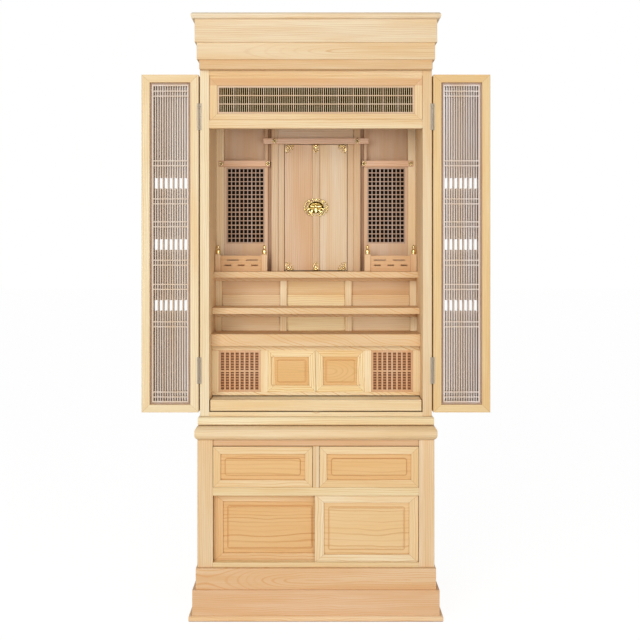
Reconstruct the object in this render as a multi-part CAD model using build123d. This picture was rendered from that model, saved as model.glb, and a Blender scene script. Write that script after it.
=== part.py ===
import os

from build123d import *

os.makedirs("parts", exist_ok=True)

# Whole altar, in millimetres. The front faces -Y, the floor is at z = 0, the back is one plane.
# Sizes are given piece by piece, and each level is reckoned from the one below it.
DEPTH = 560.0
FRONT = -DEPTH / 2
BACK = DEPTH / 2
CASE_HALF = 317.7
SLIP = 0.6
REST = 0.3
PANEL = 9.0
BACK_RECESS = 3.0
BACK_INNER = BACK - BACK_RECESS - PANEL
BOARD = 17.0
THIN_BOARD = 12.0

# Plinth, each course with its overhang past the case and its height
PLINTH_BEAD_OVER = 27.3
PLINTH_BEAD_HIGH = 16.0
PLINTH_BEAD_NOSE = 4.0
PLINTH_LOWER_OVER = 17.3
PLINTH_LOWER_HIGH = 69.0
PLINTH_LOWER_SET = 4.0
PLINTH_UPPER_OVER = 8.3
PLINTH_UPPER_HIGH = 57.0
PLINTH_UPPER_SET = 10.0
PLINTH_WALL = 45.0
PLINTH_LOWER_TOP = PLINTH_BEAD_HIGH + PLINTH_LOWER_HIGH
PLINTH_TOP = PLINTH_LOWER_TOP + PLINTH_UPPER_HIGH

# Lower cabinet
BASE_OVER = 5.3
BASE_SET = 25.0
BASE_POST = 42.0
SILL_HIGH = 13.0
CUPBOARD_HIGH = 182.0
MID_RAIL_HIGH = 22.5
DRAWER_BAY_HIGH = 112.1
TOP_RAIL_HIGH = 17.4
TOP_RAIL_SET = 6.0
RAIL_DEPTH = 48.0
DIVIDER_WIDE = 17.4
BASE_HALF = CASE_HALF + BASE_OVER
BASE_INNER = BASE_HALF - BASE_POST
BASE_FRONT = FRONT + BASE_SET
SILL_TOP = PLINTH_TOP + SILL_HIGH
MID_RAIL_BOTTOM = SILL_TOP + CUPBOARD_HIGH
MID_RAIL_TOP = MID_RAIL_BOTTOM + MID_RAIL_HIGH
TOP_RAIL_BOTTOM = MID_RAIL_TOP + DRAWER_BAY_HIGH
BASE_TOP = TOP_RAIL_BOTTOM + TOP_RAIL_HIGH

# Waist moulding
TORUS_OVER = 12.3
TORUS_SET = 12.0
TORUS_HIGH = 37.0
TORUS_NOSE = 14.0
WAIST_OVER = 5.3
WAIST_SET = 35.0
WAIST_HIGH = 24.0
WAIST_NOSE = 5.0
TORUS_TOP = BASE_TOP + TORUS_HIGH
WAIST_TOP = TORUS_TOP + WAIST_HIGH

# Upper cabinet
STILE_SET = 47.0
STILE_WIDE = 25.0
STILE_DEPTH = 25.0
THRESHOLD_HIGH = 12.0
THRESHOLD_DEPTH = 40.0
NOTCH_RADIUS = 22.0
NOTCH_DEEP = 3.6
NOTCH_LONG = 10.0
STILE_INNER = CASE_HALF - STILE_WIDE
STILE_FRONT = FRONT + STILE_SET
THRESHOLD_TOP = WAIST_TOP + THRESHOLD_HIGH

# Pull-out shelf and the floor over it
SHELF_HIGH = 29.7
SHELF_RUN = 2.5
SHELF_SIDE = 2.5
SHELF_SET = 7.0
SHELF_DEEP = 336.0
SHELF_LIP = 18.0
RUNNER_WIDE = 30.0
SHELF_HEADROOM = 2.8
NICHE_FLOOR_HIGH = 10.0
SHELF_LOW = THRESHOLD_TOP + SHELF_RUN
SHELF_TOP = SHELF_LOW + SHELF_HIGH
SHELF_HALF = STILE_INNER - SHELF_SIDE
SHELF_FRONT = STILE_FRONT + SHELF_SET
SHELF_BACK = SHELF_FRONT + SHELF_DEEP
NICHE_FLOOR_LOW = SHELF_TOP + SHELF_HEADROOM
NICHE_FLOOR_TOP = NICHE_FLOOR_LOW + NICHE_FLOOR_HIGH

# Row of panels over the shelf
NICHE_SET = 94.0
NICHE_HIGH = 117.0
NICHE_POST_SHARE = 0.498
NICHE_LATTICE_THICK = 8.0
NICHE_LATTICE_SET = 2.0
NICHE_COLUMNS = 8
NICHE_ROWS = 2
NICHE_BAR = 5.0
NICHE_BORDER = 6.5
NICHE_PANEL_THICK = 12.0
NICHE_STILE = 20.0
NICHE_RAIL = 18.0
NICHE_GROOVE = 9.0
NICHE_MARGIN = 11.0
NICHE_SEAM = 1.0
NICHE_FRONT = STILE_FRONT + NICHE_SET
NICHE_TOP = NICHE_FLOOR_TOP + NICHE_HIGH

# Stepped decks, from the lowest board up
STEP_POST = 19.0
STEP_POST_DEPTH = 14.0
RISER_POST_SHARE = 0.323
RISER_BOARD = 6.0
RISER_LEDGE = 3.0
RISER_LEDGE_SHARE = 0.44
STEP_OVERLAP = 60.0
LOW_RAIL_HIGH = 30.0
LOW_RAIL_DEPTH = 20.0
STEP_3_OUT = 30.0
STEP_3_NOSE = 33.0
LOWER_RISER_SET = 203.0
LOWER_RISER_HIGH = 41.5
RAIL_2_HIGH = 13.5
STEP_2_OUT = 105.0
UPPER_RISER_SET = 229.0
UPPER_RISER_HIGH = 73.0
RAIL_1_HIGH = 11.0
DECK_OUT = 68.0
STEP_3_FRONT = NICHE_FRONT - STEP_3_OUT
STEP_3_TOP = NICHE_TOP + LOW_RAIL_HIGH + BOARD
RISER_2_FRONT = STILE_FRONT + LOWER_RISER_SET
UNDER_RAIL_2 = STEP_3_TOP + LOWER_RISER_HIGH
STEP_2_FRONT = RISER_2_FRONT - STEP_2_OUT
STEP_2_TOP = UNDER_RAIL_2 + RAIL_2_HIGH + BOARD
RISER_1_FRONT = STILE_FRONT + UPPER_RISER_SET
UNDER_RAIL_1 = STEP_2_TOP + UPPER_RISER_HIGH
DECK_FRONT = RISER_1_FRONT - DECK_OUT
DECK_TOP = UNDER_RAIL_1 + RAIL_1_HIGH + BOARD

# Shrine
SHRINE_SET = 246.0
SHRINE_DOOR_HALF = 91.1
SHRINE_DOOR_HIGH = 368.0
SHRINE_DOOR_THICK = 15.0
SHRINE_SEAM = 2.6
SHRINE_SILL_GAP = 2.5
SHRINE_HEAD_GAP = 1.5
JAMB_GAP = 1.5
JAMB_WIDE = 18.4
PILLAR_WIDE = 19.0
PILLAR_PROUD = 8.0
POST_DEPTH = 20.0
HEAD_BOARD = 12.0
WALL_LAP = 4.0
PIVOT_IN = 5.0
PIVOT_BEHIND = 2.8
PIVOT_RADIUS = 2.0
PIVOT_LONG = 7.0
BATTEN_WIDE = 20.0
BATTEN_THICK = 6.0
BRASS = 2.0
CORNER_PLATE = 27.0
CORNER_PLATE_IN = 2.0
LOCK_WIDE = 70.0
LOCK_HIGH = 52.0
LOCK_RISE = 187.0
SHRINE_FRONT = STILE_FRONT + SHRINE_SET
DOOR_LOW = DECK_TOP + SHRINE_SILL_GAP
DOOR_HIGH = DOOR_LOW + SHRINE_DOOR_HIGH
JAMB_INNER = SHRINE_DOOR_HALF + JAMB_GAP
PILLAR_INNER = JAMB_INNER + JAMB_WIDE
PILLAR_OUTER = PILLAR_INNER + PILLAR_WIDE
PILLAR_FRONT = SHRINE_FRONT - PILLAR_PROUD
SHRINE_WALL_INNER = PILLAR_INNER + WALL_LAP
SHRINE_WALL_OUTER = SHRINE_WALL_INNER + PANEL
PIVOT_X = SHRINE_DOOR_HALF - PIVOT_IN
PIVOT_Y = SHRINE_FRONT + PIVOT_BEHIND

# Rails with brass studs
NAGESHI_HIGH = 16.0
NAGESHI_OVER = 23.7
NAGESHI_DEPTH = 12.0
WING_NAGESHI_RISE = 307.0
WING_NAGESHI_HIGH = 17.0
WING_NAGESHI_LAP = 15.0
WING_NAGESHI_END = 6.5
STUD_RADIUS = 6.5
NAGESHI_LOW = DOOR_HIGH + SHRINE_HEAD_GAP
WING_NAGESHI_LOW = DECK_TOP + WING_NAGESHI_RISE

# Wings
WING_SET = 258.0
WING_GAP = 11.0
WING_THICK = 10.0
WING_INNER_POST = 8.0
WING_PILLAR = 22.7
WING_PILLAR_PROUD = 10.0
WING_RECESS = 30.0
WING_LATTICE_RISE = 81.5
WING_LATTICE_HIGH = 223.0
WING_LATTICE_INNER = 9.5
WING_LATTICE_OUTER = 30.0
WING_LATTICE_THICK = 5.0
WING_COLUMNS = 9
WING_COLUMN_STEP = 3
WING_ROWS = 17
WING_ROW_BARS = (4, 7, 10, 13)
WING_BAR = 3.2
WING_BORDER = 4.0
WING_FRONT = STILE_FRONT + WING_SET
WING_INNER = PILLAR_OUTER + WING_GAP
WING_PILLAR_X = STILE_INNER - WING_PILLAR

# Railings before the wings
RAILING_SET = 189.0
RAILING_HIGH = 46.0
RAILING_THICK = 8.0
RAILING_GAP = 1.7
SLOT_HIGH = 4.0
SLOT_ROWS = (16.0, 31.0)
SLOT_SHARES = (
    ((0.09, 0.25), (0.42, 0.58), (0.75, 0.91)),
    ((0.09, 0.38), (0.56, 0.85)),
)
NEWEL = 16.4
NEWEL_HIGH = 50.0
CAP_HIGH = 27.6
CAP_RADIUS = 7.2
RAILING_FRONT = STILE_FRONT + RAILING_SET
RAILING_OUTER = STILE_INNER - RAILING_GAP

# Lintel, transom and the top of the case
HEADROOM = 396.0
LINTEL_HIGH = 23.5
TRANSOM_SET = 5.0
TRANSOM_DEPTH = 14.0
TRANSOM_RAIL_LOW = 16.5
TRANSOM_OPEN = 78.0
TRANSOM_RAIL_HIGH = 26.0
TRANSOM_STILE = 21.7
TRANSOM_BORDER = 5.5
TRANSOM_COLUMNS = 91
TRANSOM_COLUMN_STEP = 7
TRANSOM_ROWS = 3
TRANSOM_BAR = 2.4
TRANSOM_LATTICE_THICK = 8.0
TRANSOM_LATTICE_SET = 3.0
HEAD_RAIL_HIGH = 15.0
HEAD_RAIL_PROUD = 3.0
LINTEL_BOTTOM = DECK_TOP + HEADROOM
LINTEL_TOP = LINTEL_BOTTOM + LINTEL_HIGH
TRANSOM_FRONT = STILE_FRONT + TRANSOM_SET
TRANSOM_LOW = LINTEL_TOP + TRANSOM_RAIL_LOW
TRANSOM_HIGH = TRANSOM_LOW + TRANSOM_OPEN
TRANSOM_TOP = TRANSOM_HIGH + TRANSOM_RAIL_HIGH
TRANSOM_HALF = STILE_INNER - TRANSOM_STILE
CASE_TOP = TRANSOM_TOP + HEAD_RAIL_HIGH

# Cornice, each course with its overhang, its setback from the front and its height
CORNICE_1_OVER = 0.0
CORNICE_1_SET = 22.0
CORNICE_1_HIGH = 25.0
CORNICE_2_OVER = 6.3
CORNICE_2_SET = 16.0
CORNICE_2_HIGH = 46.0
CORNICE_3_OVER = 11.3
CORNICE_3_SET = 9.0
CORNICE_3_HIGH = 63.0
CORNICE_WALL = 30.0
CROWN_OVER = 21.3
CROWN_HIGH = 17.0
CROWN_NOSE = 7.0
CORNICE_1_TOP = CASE_TOP + CORNICE_1_HIGH
CORNICE_2_TOP = CORNICE_1_TOP + CORNICE_2_HIGH
CORNICE_3_TOP = CORNICE_2_TOP + CORNICE_3_HIGH
HEIGHT = CORNICE_3_TOP + CROWN_HIGH

# Folding doors, each pair folded flat and swung right back beside the case
LEAF_FOOT = 11.0
LEAF_HEAD = 12.0
LEAF_GAP = 4.0
LEAF_WIDE = 156.5
LEAF_THICK = 22.0
LEAF_STILE = 22.5
LEAF_RAIL = 21.0
LEAF_FOLD_GAP = 3.0
LATTICE_THICK = 8.0
LATTICE_BORDER = 9.6
LATTICE_GROOVE = 5.5
LATTICE_GROOVE_DEEP = 5.0
LATTICE_BAR = 2.8
DOOR_COLUMNS = 7
PAIR_SHARES = (0.0311, 0.2491, 0.3654, 0.4406, 0.5597, 0.6309, 0.7492, 0.9658)
PAIR_GAP = 13.6
HINGE_HIGH = 73.0
HINGE_SHARES = (0.124, 0.875)
HINGE_INSET = 2.0
HINGE_LEAF = 20.0
HINGE_RADIUS = 3.0
LEAF_LOW = WAIST_TOP + LEAF_FOOT
LEAF_HIGH = CASE_TOP - LEAF_HEAD

# Drawers and sliding doors
SIDE_CLEAR = 1.2
FACE_THICK = 18.0
FACE_FRAME = 20.0
FACE_GROUND = 5.0
DRAWER_TOP_CLEAR = 1.2
DRAWER_DEEP = 400.0
DRAWER_WALL = 9.0
DRAWER_BOTTOM = 6.0
DRAWER_INSET = 2.0
DRAWER_DROP = 8.0
SLIDE_SET = 8.0
SLIDE_THICK = 14.0
SLIDE_STILE = 25.0
SLIDE_RAIL = 22.0
SLIDE_TRACK = 19.0
SLIDE_LAP = 3.0
TRACK_DEEP = 2.5
TRACK_HEAD = 5.0
TRACK_CLEAR = 1.0
SLIDE_HEAD = 1.5
FIELD_RAISE = 3.0
FIELD_MARGIN = 13.0
FIELD_CORNER = 6.0
SLIDE_MARGIN = 16.0
SLIDE_FRONT = BASE_FRONT + SLIDE_SET
SLIDE_LOW = SILL_TOP - TRACK_DEEP + REST
SLIDE_HIGH = MID_RAIL_BOTTOM + SLIDE_HEAD


def block(x0, x1, y0, y1, z0, z1):
    """A board given by its six faces."""
    centre = Pos((x0 + x1) / 2, (y0 + y1) / 2, (z0 + z1) / 2)
    return centre * Box(x1 - x0, y1 - y0, z1 - z0)


def cross_board(y0, y1, z0, z1):
    """A board that runs right across the inside of the upper cabinet."""
    return block(-STILE_INNER, STILE_INNER, y0, y1, z0, z1)


def course(over, setback, z0, z1):
    """A course of moulding that stands past the case by its overhang, flush at the back."""
    half = CASE_HALF + over
    return block(-half, half, FRONT + setback, BACK, z0, z1)


def rounded_course(over, setback, z0, z1, nose):
    """A course whose front and side edges are rounded."""
    slab = course(over, setback, z0, z1)
    flat = [edge for edge in slab.edges() if abs(edge.tangent_at(0).Z) < 0.5]
    return fillet([edge for edge in flat if edge.center().Y < BACK - nose], nose)


def loop(x0, x1, z0, z1, y):
    """A rectangular wire standing in the plane of the front."""
    return Wire.make_polygon([(x0, y, z0), (x1, y, z0), (x1, y, z1), (x0, y, z1)])


def pierced(outline, openings, y0, y1):
    """A flat board with rectangular openings cut through it."""
    outer = loop(*outline, y0)
    inner = [loop(*opening, y0) for opening in openings]
    return extrude(Face(outer, inner), y1 - y0, dir=(0, 1, 0))


def bar_centres(low, high, cells, bar, border, chosen):
    """Centres of the chosen bars among those that part a span into even cells."""
    pitch = (high - low - 2 * border + bar) / cells
    return [low + border + place * pitch - bar / 2 for place in chosen]


def grid(outline, uprights, levels, bar, border):
    """The openings that a lattice leaves between its border and its bars."""
    x0, x1, z0, z1 = outline
    lefts = [x0 + border] + [centre + bar / 2 for centre in uprights]
    rights = [centre - bar / 2 for centre in uprights] + [x1 - border]
    lows = [z0 + border] + [centre + bar / 2 for centre in levels]
    highs = [centre - bar / 2 for centre in levels] + [z1 - border]
    holes = []
    for left, right in zip(lefts, rights):
        for low, high in zip(lows, highs):
            holes.append((left, right, low, high))
    return holes


def mirrored(shape):
    """The same piece on the other side of the altar."""
    return mirror(shape, about=Plane.YZ)


def save(name, *solids):
    """One node: every solid in it keeps clear of the others."""
    flat = []
    for item in solids:
        flat.extend(item.solids())
    export_step(flat[0] if len(flat) == 1 else Compound(children=flat), f"parts/{name}.step")


def framed_face(outline, y0, y1, stile, rail, margin):
    """A framed front with a recessed ground and a raised field with rounded corners."""
    x0, x1, z0, z1 = outline
    ground = y0 + FACE_GROUND
    opening = (x0 + stile, x1 - stile, z0 + rail, z1 - rail)
    frame = pierced(outline, [opening], y0, y1)
    panel = block(*opening[:2], ground, y1, *opening[2:])
    field = block(
        opening[0] + margin,
        opening[1] - margin,
        ground - FIELD_RAISE,
        ground,
        opening[2] + margin,
        opening[3] - margin,
    )
    field = fillet(field.edges().filter_by(Axis.Y), FIELD_CORNER)
    return frame + panel + field


# Plinth and lower cabinet
def plinth():
    bead = rounded_course(PLINTH_BEAD_OVER, 0, 0, PLINTH_BEAD_HIGH, PLINTH_BEAD_NOSE)
    lower = course(PLINTH_LOWER_OVER, PLINTH_LOWER_SET, PLINTH_BEAD_HIGH, PLINTH_LOWER_TOP)
    upper = course(PLINTH_UPPER_OVER, PLINTH_UPPER_SET, PLINTH_LOWER_TOP, PLINTH_TOP)
    inside = CASE_HALF + PLINTH_UPPER_OVER - PLINTH_WALL
    hollow = block(
        -inside,
        inside,
        FRONT + PLINTH_UPPER_SET + PLINTH_WALL,
        BACK - PLINTH_WALL,
        0,
        PLINTH_TOP,
    )
    save("plinth", bead + lower + upper - hollow)


def tracks(rail, low, high):
    """Cuts the two grooves that the sliding doors run in."""
    for track in range(2):
        start = SLIDE_FRONT + track * SLIDE_TRACK - TRACK_CLEAR
        stop = start + SLIDE_THICK + 2 * TRACK_CLEAR
        rail -= block(-BASE_INNER, BASE_INNER, start, stop, low, high)
    return rail


def lower_cabinet():
    front_back = BASE_FRONT + BASE_POST
    post = block(BASE_INNER, BASE_HALF, BASE_FRONT, front_back, PLINTH_TOP, BASE_TOP)
    rear = block(BASE_INNER, BASE_HALF, BACK - BASE_POST, BACK, PLINTH_TOP, BASE_TOP)
    save("base_posts", post, rear, mirrored(post), mirrored(rear))
    behind = BASE_FRONT + RAIL_DEPTH
    sill = block(-BASE_INNER, BASE_INNER, BASE_FRONT, behind, PLINTH_TOP, SILL_TOP)
    sill = tracks(sill, SILL_TOP - TRACK_DEEP, SILL_TOP)
    middle = block(-BASE_INNER, BASE_INNER, BASE_FRONT, behind, MID_RAIL_BOTTOM, MID_RAIL_TOP)
    middle = tracks(middle, MID_RAIL_BOTTOM, MID_RAIL_BOTTOM + TRACK_HEAD)
    top = block(
        -BASE_INNER, BASE_INNER, BASE_FRONT + TOP_RAIL_SET, behind, TOP_RAIL_BOTTOM, BASE_TOP
    )
    save("base_rails", sill, middle, top)
    floor = block(
        -BASE_INNER, BASE_INNER, behind, BACK_INNER, PLINTH_TOP, PLINTH_TOP + THIN_BOARD
    )
    deck = block(
        -BASE_INNER, BASE_INNER, behind, BACK_INNER, MID_RAIL_TOP - THIN_BOARD, MID_RAIL_TOP
    )
    save("base_shelves", floor, deck)
    half = DIVIDER_WIDE / 2
    save("drawer_divider", block(-half, half, BASE_FRONT, BACK_INNER, MID_RAIL_TOP, TOP_RAIL_BOTTOM))


def panels():
    lower_side = block(
        BASE_INNER,
        BASE_INNER + THIN_BOARD,
        BASE_FRONT + BASE_POST,
        BACK - BASE_POST,
        PLINTH_TOP,
        BASE_TOP,
    )
    upper_side = block(
        STILE_INNER,
        STILE_INNER + THIN_BOARD,
        STILE_FRONT + STILE_DEPTH,
        BACK - STILE_DEPTH,
        WAIST_TOP,
        CASE_TOP,
    )
    save("side_panels", lower_side, mirrored(lower_side), upper_side, mirrored(upper_side))
    lower_back = block(
        -BASE_INNER, BASE_INNER, BACK_INNER, BACK_INNER + PANEL, PLINTH_TOP, BASE_TOP
    )
    upper_back = cross_board(BACK_INNER, BACK_INNER + PANEL, WAIST_TOP, CASE_TOP)
    save("back_panels", lower_back, upper_back)


def waist():
    torus = rounded_course(TORUS_OVER, TORUS_SET, BASE_TOP, TORUS_TOP, TORUS_NOSE)
    torus -= block(
        -BASE_INNER,
        BASE_INNER,
        BASE_FRONT + BASE_POST,
        BACK - BASE_POST,
        BASE_TOP,
        TORUS_TOP,
    )
    step = rounded_course(WAIST_OVER, WAIST_SET, TORUS_TOP, WAIST_TOP, WAIST_NOSE)
    save("waist_moulding", torus + step)


# Upper cabinet
def case_frame():
    behind = STILE_FRONT + STILE_DEPTH
    stile = block(STILE_INNER, CASE_HALF, STILE_FRONT, behind, WAIST_TOP, CASE_TOP)
    rear = block(STILE_INNER, CASE_HALF, BACK - STILE_DEPTH, BACK, WAIST_TOP, CASE_TOP)
    save("cabinet_stiles", stile, mirrored(stile), rear, mirrored(rear))
    rail_back = STILE_FRONT + THRESHOLD_DEPTH
    rail = cross_board(STILE_FRONT, rail_back, WAIST_TOP, THRESHOLD_TOP)
    notch_centre = THRESHOLD_TOP + NOTCH_RADIUS - NOTCH_DEEP
    notch = Cylinder(NOTCH_RADIUS, 2 * NOTCH_LONG, rotation=(90, 0, 0))
    rail -= Pos(0, STILE_FRONT, notch_centre) * notch
    runner_inner = STILE_INNER - RUNNER_WIDE
    runner = block(
        runner_inner, STILE_INNER, rail_back, SHELF_BACK, WAIST_TOP, SHELF_LOW - REST
    )
    save("shelf_frame", rail + runner + mirrored(runner))


def transom():
    back = TRANSOM_FRONT + TRANSOM_DEPTH
    opening = (-TRANSOM_HALF, TRANSOM_HALF, TRANSOM_LOW, TRANSOM_HIGH)
    frame = pierced(
        (-STILE_INNER, STILE_INNER, LINTEL_TOP, TRANSOM_TOP), [opening], TRANSOM_FRONT, back
    )
    lintel = cross_board(STILE_FRONT, STILE_FRONT + STILE_DEPTH, LINTEL_BOTTOM, LINTEL_TOP)
    head = cross_board(TRANSOM_FRONT - HEAD_RAIL_PROUD, back, TRANSOM_TOP, CASE_TOP)
    save("transom_frame", frame + lintel + head)
    chosen = range(TRANSOM_COLUMN_STEP, TRANSOM_COLUMNS, TRANSOM_COLUMN_STEP)
    uprights = bar_centres(
        -TRANSOM_HALF, TRANSOM_HALF, TRANSOM_COLUMNS, TRANSOM_BAR, TRANSOM_BORDER, chosen
    )
    levels = bar_centres(
        TRANSOM_LOW, TRANSOM_HIGH, TRANSOM_ROWS, TRANSOM_BAR, TRANSOM_BORDER, range(1, TRANSOM_ROWS)
    )
    holes = grid(opening, uprights, levels, TRANSOM_BAR, TRANSOM_BORDER)
    front = TRANSOM_FRONT + TRANSOM_LATTICE_SET
    save("transom_lattice", pierced(opening, holes, front, front + TRANSOM_LATTICE_THICK))


def cornice():
    first = course(CORNICE_1_OVER, CORNICE_1_SET, CASE_TOP, CORNICE_1_TOP)
    second = course(CORNICE_2_OVER, CORNICE_2_SET, CORNICE_1_TOP, CORNICE_2_TOP)
    third = course(CORNICE_3_OVER, CORNICE_3_SET, CORNICE_2_TOP, CORNICE_3_TOP)
    hollow = cross_board(
        FRONT + CORNICE_1_SET + CORNICE_WALL,
        BACK - CORNICE_WALL,
        CASE_TOP + THIN_BOARD,
        CORNICE_3_TOP,
    )
    save("cornice", first + second + third - hollow)
    save("top_board", rounded_course(CROWN_OVER, 0, CORNICE_3_TOP, HEIGHT, CROWN_NOSE))


# Folding doors
def folding_doors():
    x0 = CASE_HALF + LEAF_GAP
    x1 = x0 + LEAF_WIDE
    opening = (x0 + LEAF_STILE, x1 - LEAF_STILE, LEAF_LOW + LEAF_RAIL, LEAF_HIGH - LEAF_RAIL)
    uprights = bar_centres(
        *opening[:2], DOOR_COLUMNS, LATTICE_BAR, LATTICE_BORDER, range(1, DOOR_COLUMNS)
    )
    levels = []
    for share in PAIR_SHARES:
        centre = opening[2] + share * (opening[3] - opening[2])
        levels.extend([centre - PAIR_GAP / 2, centre + PAIR_GAP / 2])
    holes = grid(opening, uprights, levels, LATTICE_BAR, LATTICE_BORDER)
    inside = (
        opening[0] + LATTICE_GROOVE,
        opening[1] - LATTICE_GROOVE,
        opening[2] + LATTICE_GROOVE,
        opening[3] - LATTICE_GROOVE,
    )
    frames = []
    lattices = []
    for order in range(2):
        front = STILE_FRONT + order * (LEAF_THICK + LEAF_FOLD_GAP)
        frames.append(
            pierced((x0, x1, LEAF_LOW, LEAF_HIGH), [opening], front, front + LEAF_THICK)
        )
        start = front + (LEAF_THICK - LATTICE_THICK) / 2
        lattice = pierced(opening, holes, start, start + LATTICE_THICK)
        groove = pierced(opening, [inside], start, start + LATTICE_GROOVE_DEEP)
        lattices.append(lattice - groove)
    save("folding_door_frames", *frames, *[mirrored(frame) for frame in frames])
    save("right_door_lattices", *lattices)
    save("left_door_lattices", *[mirrored(lattice) for lattice in lattices])


def door_hinges():
    seam = STILE_FRONT + LEAF_THICK
    far_seam = seam + LEAF_FOLD_GAP
    edge = CASE_HALF + LEAF_GAP + LEAF_WIDE
    hinges = []
    for share in HINGE_SHARES:
        centre = LEAF_LOW + share * (LEAF_HIGH - LEAF_LOW)
        low = centre - HINGE_HIGH / 2
        high = centre + HINGE_HIGH / 2
        near = block(
            CASE_HALF, CASE_HALF + LEAF_GAP, STILE_FRONT + HINGE_INSET, seam - HINGE_INSET, low, high
        )
        flap = block(edge - HINGE_LEAF, edge, seam, far_seam, low, high)
        pin = Pos(edge, (seam + far_seam) / 2, centre) * Cylinder(HINGE_RADIUS, HINGE_HIGH)
        pin -= block(edge - HINGE_LEAF, edge, seam - LEAF_THICK, seam, low, high)
        pin -= block(edge - HINGE_LEAF, edge, far_seam, far_seam + LEAF_THICK, low, high)
        hinges.extend([near, flap + pin])
    save("door_hinges", *hinges, *[mirrored(hinge) for hinge in hinges])


# Stepped decks
def pivots(low, high, radius):
    """The two upright pivots on which the right shrine door turns."""
    lower = Pos(PIVOT_X, PIVOT_Y, low) * Cylinder(radius, 2 * PIVOT_LONG)
    upper = Pos(PIVOT_X, PIVOT_Y, high) * Cylinder(radius, 2 * PIVOT_LONG)
    return [lower, upper]


def decks():
    deck = cross_board(DECK_FRONT, BACK_INNER, DECK_TOP - BOARD, DECK_TOP)
    rail = cross_board(RISER_1_FRONT, RISER_1_FRONT + LOW_RAIL_DEPTH, UNDER_RAIL_1, DECK_TOP - BOARD)
    socket = pivots(DOOR_LOW - REST, DOOR_HIGH, PIVOT_RADIUS + REST)[0]
    save("altar_deck", deck + rail - socket - mirrored(socket))
    second = cross_board(
        STEP_2_FRONT, RISER_1_FRONT + STEP_OVERLAP, STEP_2_TOP - BOARD, STEP_2_TOP
    )
    rail = cross_board(
        RISER_2_FRONT, RISER_2_FRONT + LOW_RAIL_DEPTH, UNDER_RAIL_2, STEP_2_TOP - BOARD
    )
    third = cross_board(
        STEP_3_FRONT, RISER_2_FRONT + STEP_OVERLAP, STEP_3_TOP - BOARD, STEP_3_TOP
    )
    nose = cross_board(
        STEP_3_FRONT, STEP_3_FRONT + BOARD, STEP_3_TOP - STEP_3_NOSE, STEP_3_TOP - BOARD
    )
    low_rail = cross_board(NICHE_FRONT, NICHE_FRONT + LOW_RAIL_DEPTH, NICHE_TOP, STEP_3_TOP - BOARD)
    save("step_boards", second + rail, third + nose + low_rail)
    save("niche_floor", cross_board(NICHE_FRONT, BACK_INNER, NICHE_FLOOR_LOW, NICHE_FLOOR_TOP))


def risers():
    riser_post = STILE_INNER * RISER_POST_SHARE
    niche_post = STILE_INNER * NICHE_POST_SHARE
    posts = []
    rows = (
        (RISER_1_FRONT, STEP_2_TOP, UNDER_RAIL_1, riser_post),
        (RISER_2_FRONT, STEP_3_TOP, UNDER_RAIL_2, riser_post),
        (NICHE_FRONT, NICHE_FLOOR_TOP, NICHE_TOP, niche_post),
    )
    for front, low, high, middle in rows:
        back = front + STEP_POST_DEPTH
        end = block(STILE_INNER - STEP_POST, STILE_INNER, front, back, low, high)
        inner = block(middle - STEP_POST / 2, middle + STEP_POST / 2, front, back, low, high)
        posts.extend([end, mirrored(end), inner, mirrored(inner)])
    save("step_posts", *posts)
    start = RISER_1_FRONT + STEP_POST_DEPTH
    upper = cross_board(start, start + RISER_BOARD, STEP_2_TOP, UNDER_RAIL_1)
    ledge = STEP_2_TOP + RISER_LEDGE_SHARE * UPPER_RISER_HIGH
    inner_edge = riser_post + STEP_POST / 2
    outer_edge = STILE_INNER - STEP_POST
    side_skirt = block(inner_edge, outer_edge, start - RISER_LEDGE, start, STEP_2_TOP, ledge)
    middle_edge = riser_post - STEP_POST / 2
    skirt = block(-middle_edge, middle_edge, start - RISER_LEDGE, start, STEP_2_TOP, ledge)
    upper = upper + side_skirt + mirrored(side_skirt) + skirt
    start = RISER_2_FRONT + STEP_POST_DEPTH
    lower = cross_board(start, start + RISER_BOARD, STEP_3_TOP, UNDER_RAIL_2)
    save("riser_panels", upper, lower)


def niche():
    post = STILE_INNER * NICHE_POST_SHARE
    outline = (post + STEP_POST / 2, STILE_INNER - STEP_POST, NICHE_FLOOR_TOP, NICHE_TOP)
    uprights = bar_centres(
        *outline[:2], NICHE_COLUMNS, NICHE_BAR, NICHE_BORDER, range(1, NICHE_COLUMNS)
    )
    levels = bar_centres(*outline[2:], NICHE_ROWS, NICHE_BAR, NICHE_BORDER, range(1, NICHE_ROWS))
    holes = grid(outline, uprights, levels, NICHE_BAR, NICHE_BORDER)
    front = NICHE_FRONT + NICHE_LATTICE_SET
    lattice = pierced(outline, holes, front, front + NICHE_LATTICE_THICK)
    save("niche_lattices", lattice, mirrored(lattice))
    seam = NICHE_SEAM / 2
    outer = post - STEP_POST / 2
    front = NICHE_FRONT + NICHE_SEAM
    panel = framed_face(
        (seam, outer + NICHE_GROOVE, NICHE_FLOOR_TOP, NICHE_TOP),
        front,
        front + NICHE_PANEL_THICK,
        NICHE_STILE,
        NICHE_RAIL,
        NICHE_MARGIN,
    )
    panel -= block(
        outer, outer + NICHE_GROOVE, front, front + NICHE_PANEL_THICK, NICHE_FLOOR_TOP, NICHE_TOP
    )
    save("niche_panels", panel, mirrored(panel))


def pull_out_shelf():
    board = block(
        -SHELF_HALF, SHELF_HALF, SHELF_FRONT, SHELF_BACK, SHELF_TOP - THIN_BOARD, SHELF_TOP
    )
    lip = block(
        -SHELF_HALF, SHELF_HALF, SHELF_FRONT, SHELF_FRONT + SHELF_LIP, SHELF_LOW, SHELF_TOP
    )
    side = block(
        STILE_INNER - RUNNER_WIDE, SHELF_HALF, SHELF_FRONT, SHELF_BACK, SHELF_LOW, SHELF_TOP
    )
    save("pull_out_shelf", board + lip + side + mirrored(side))


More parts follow.
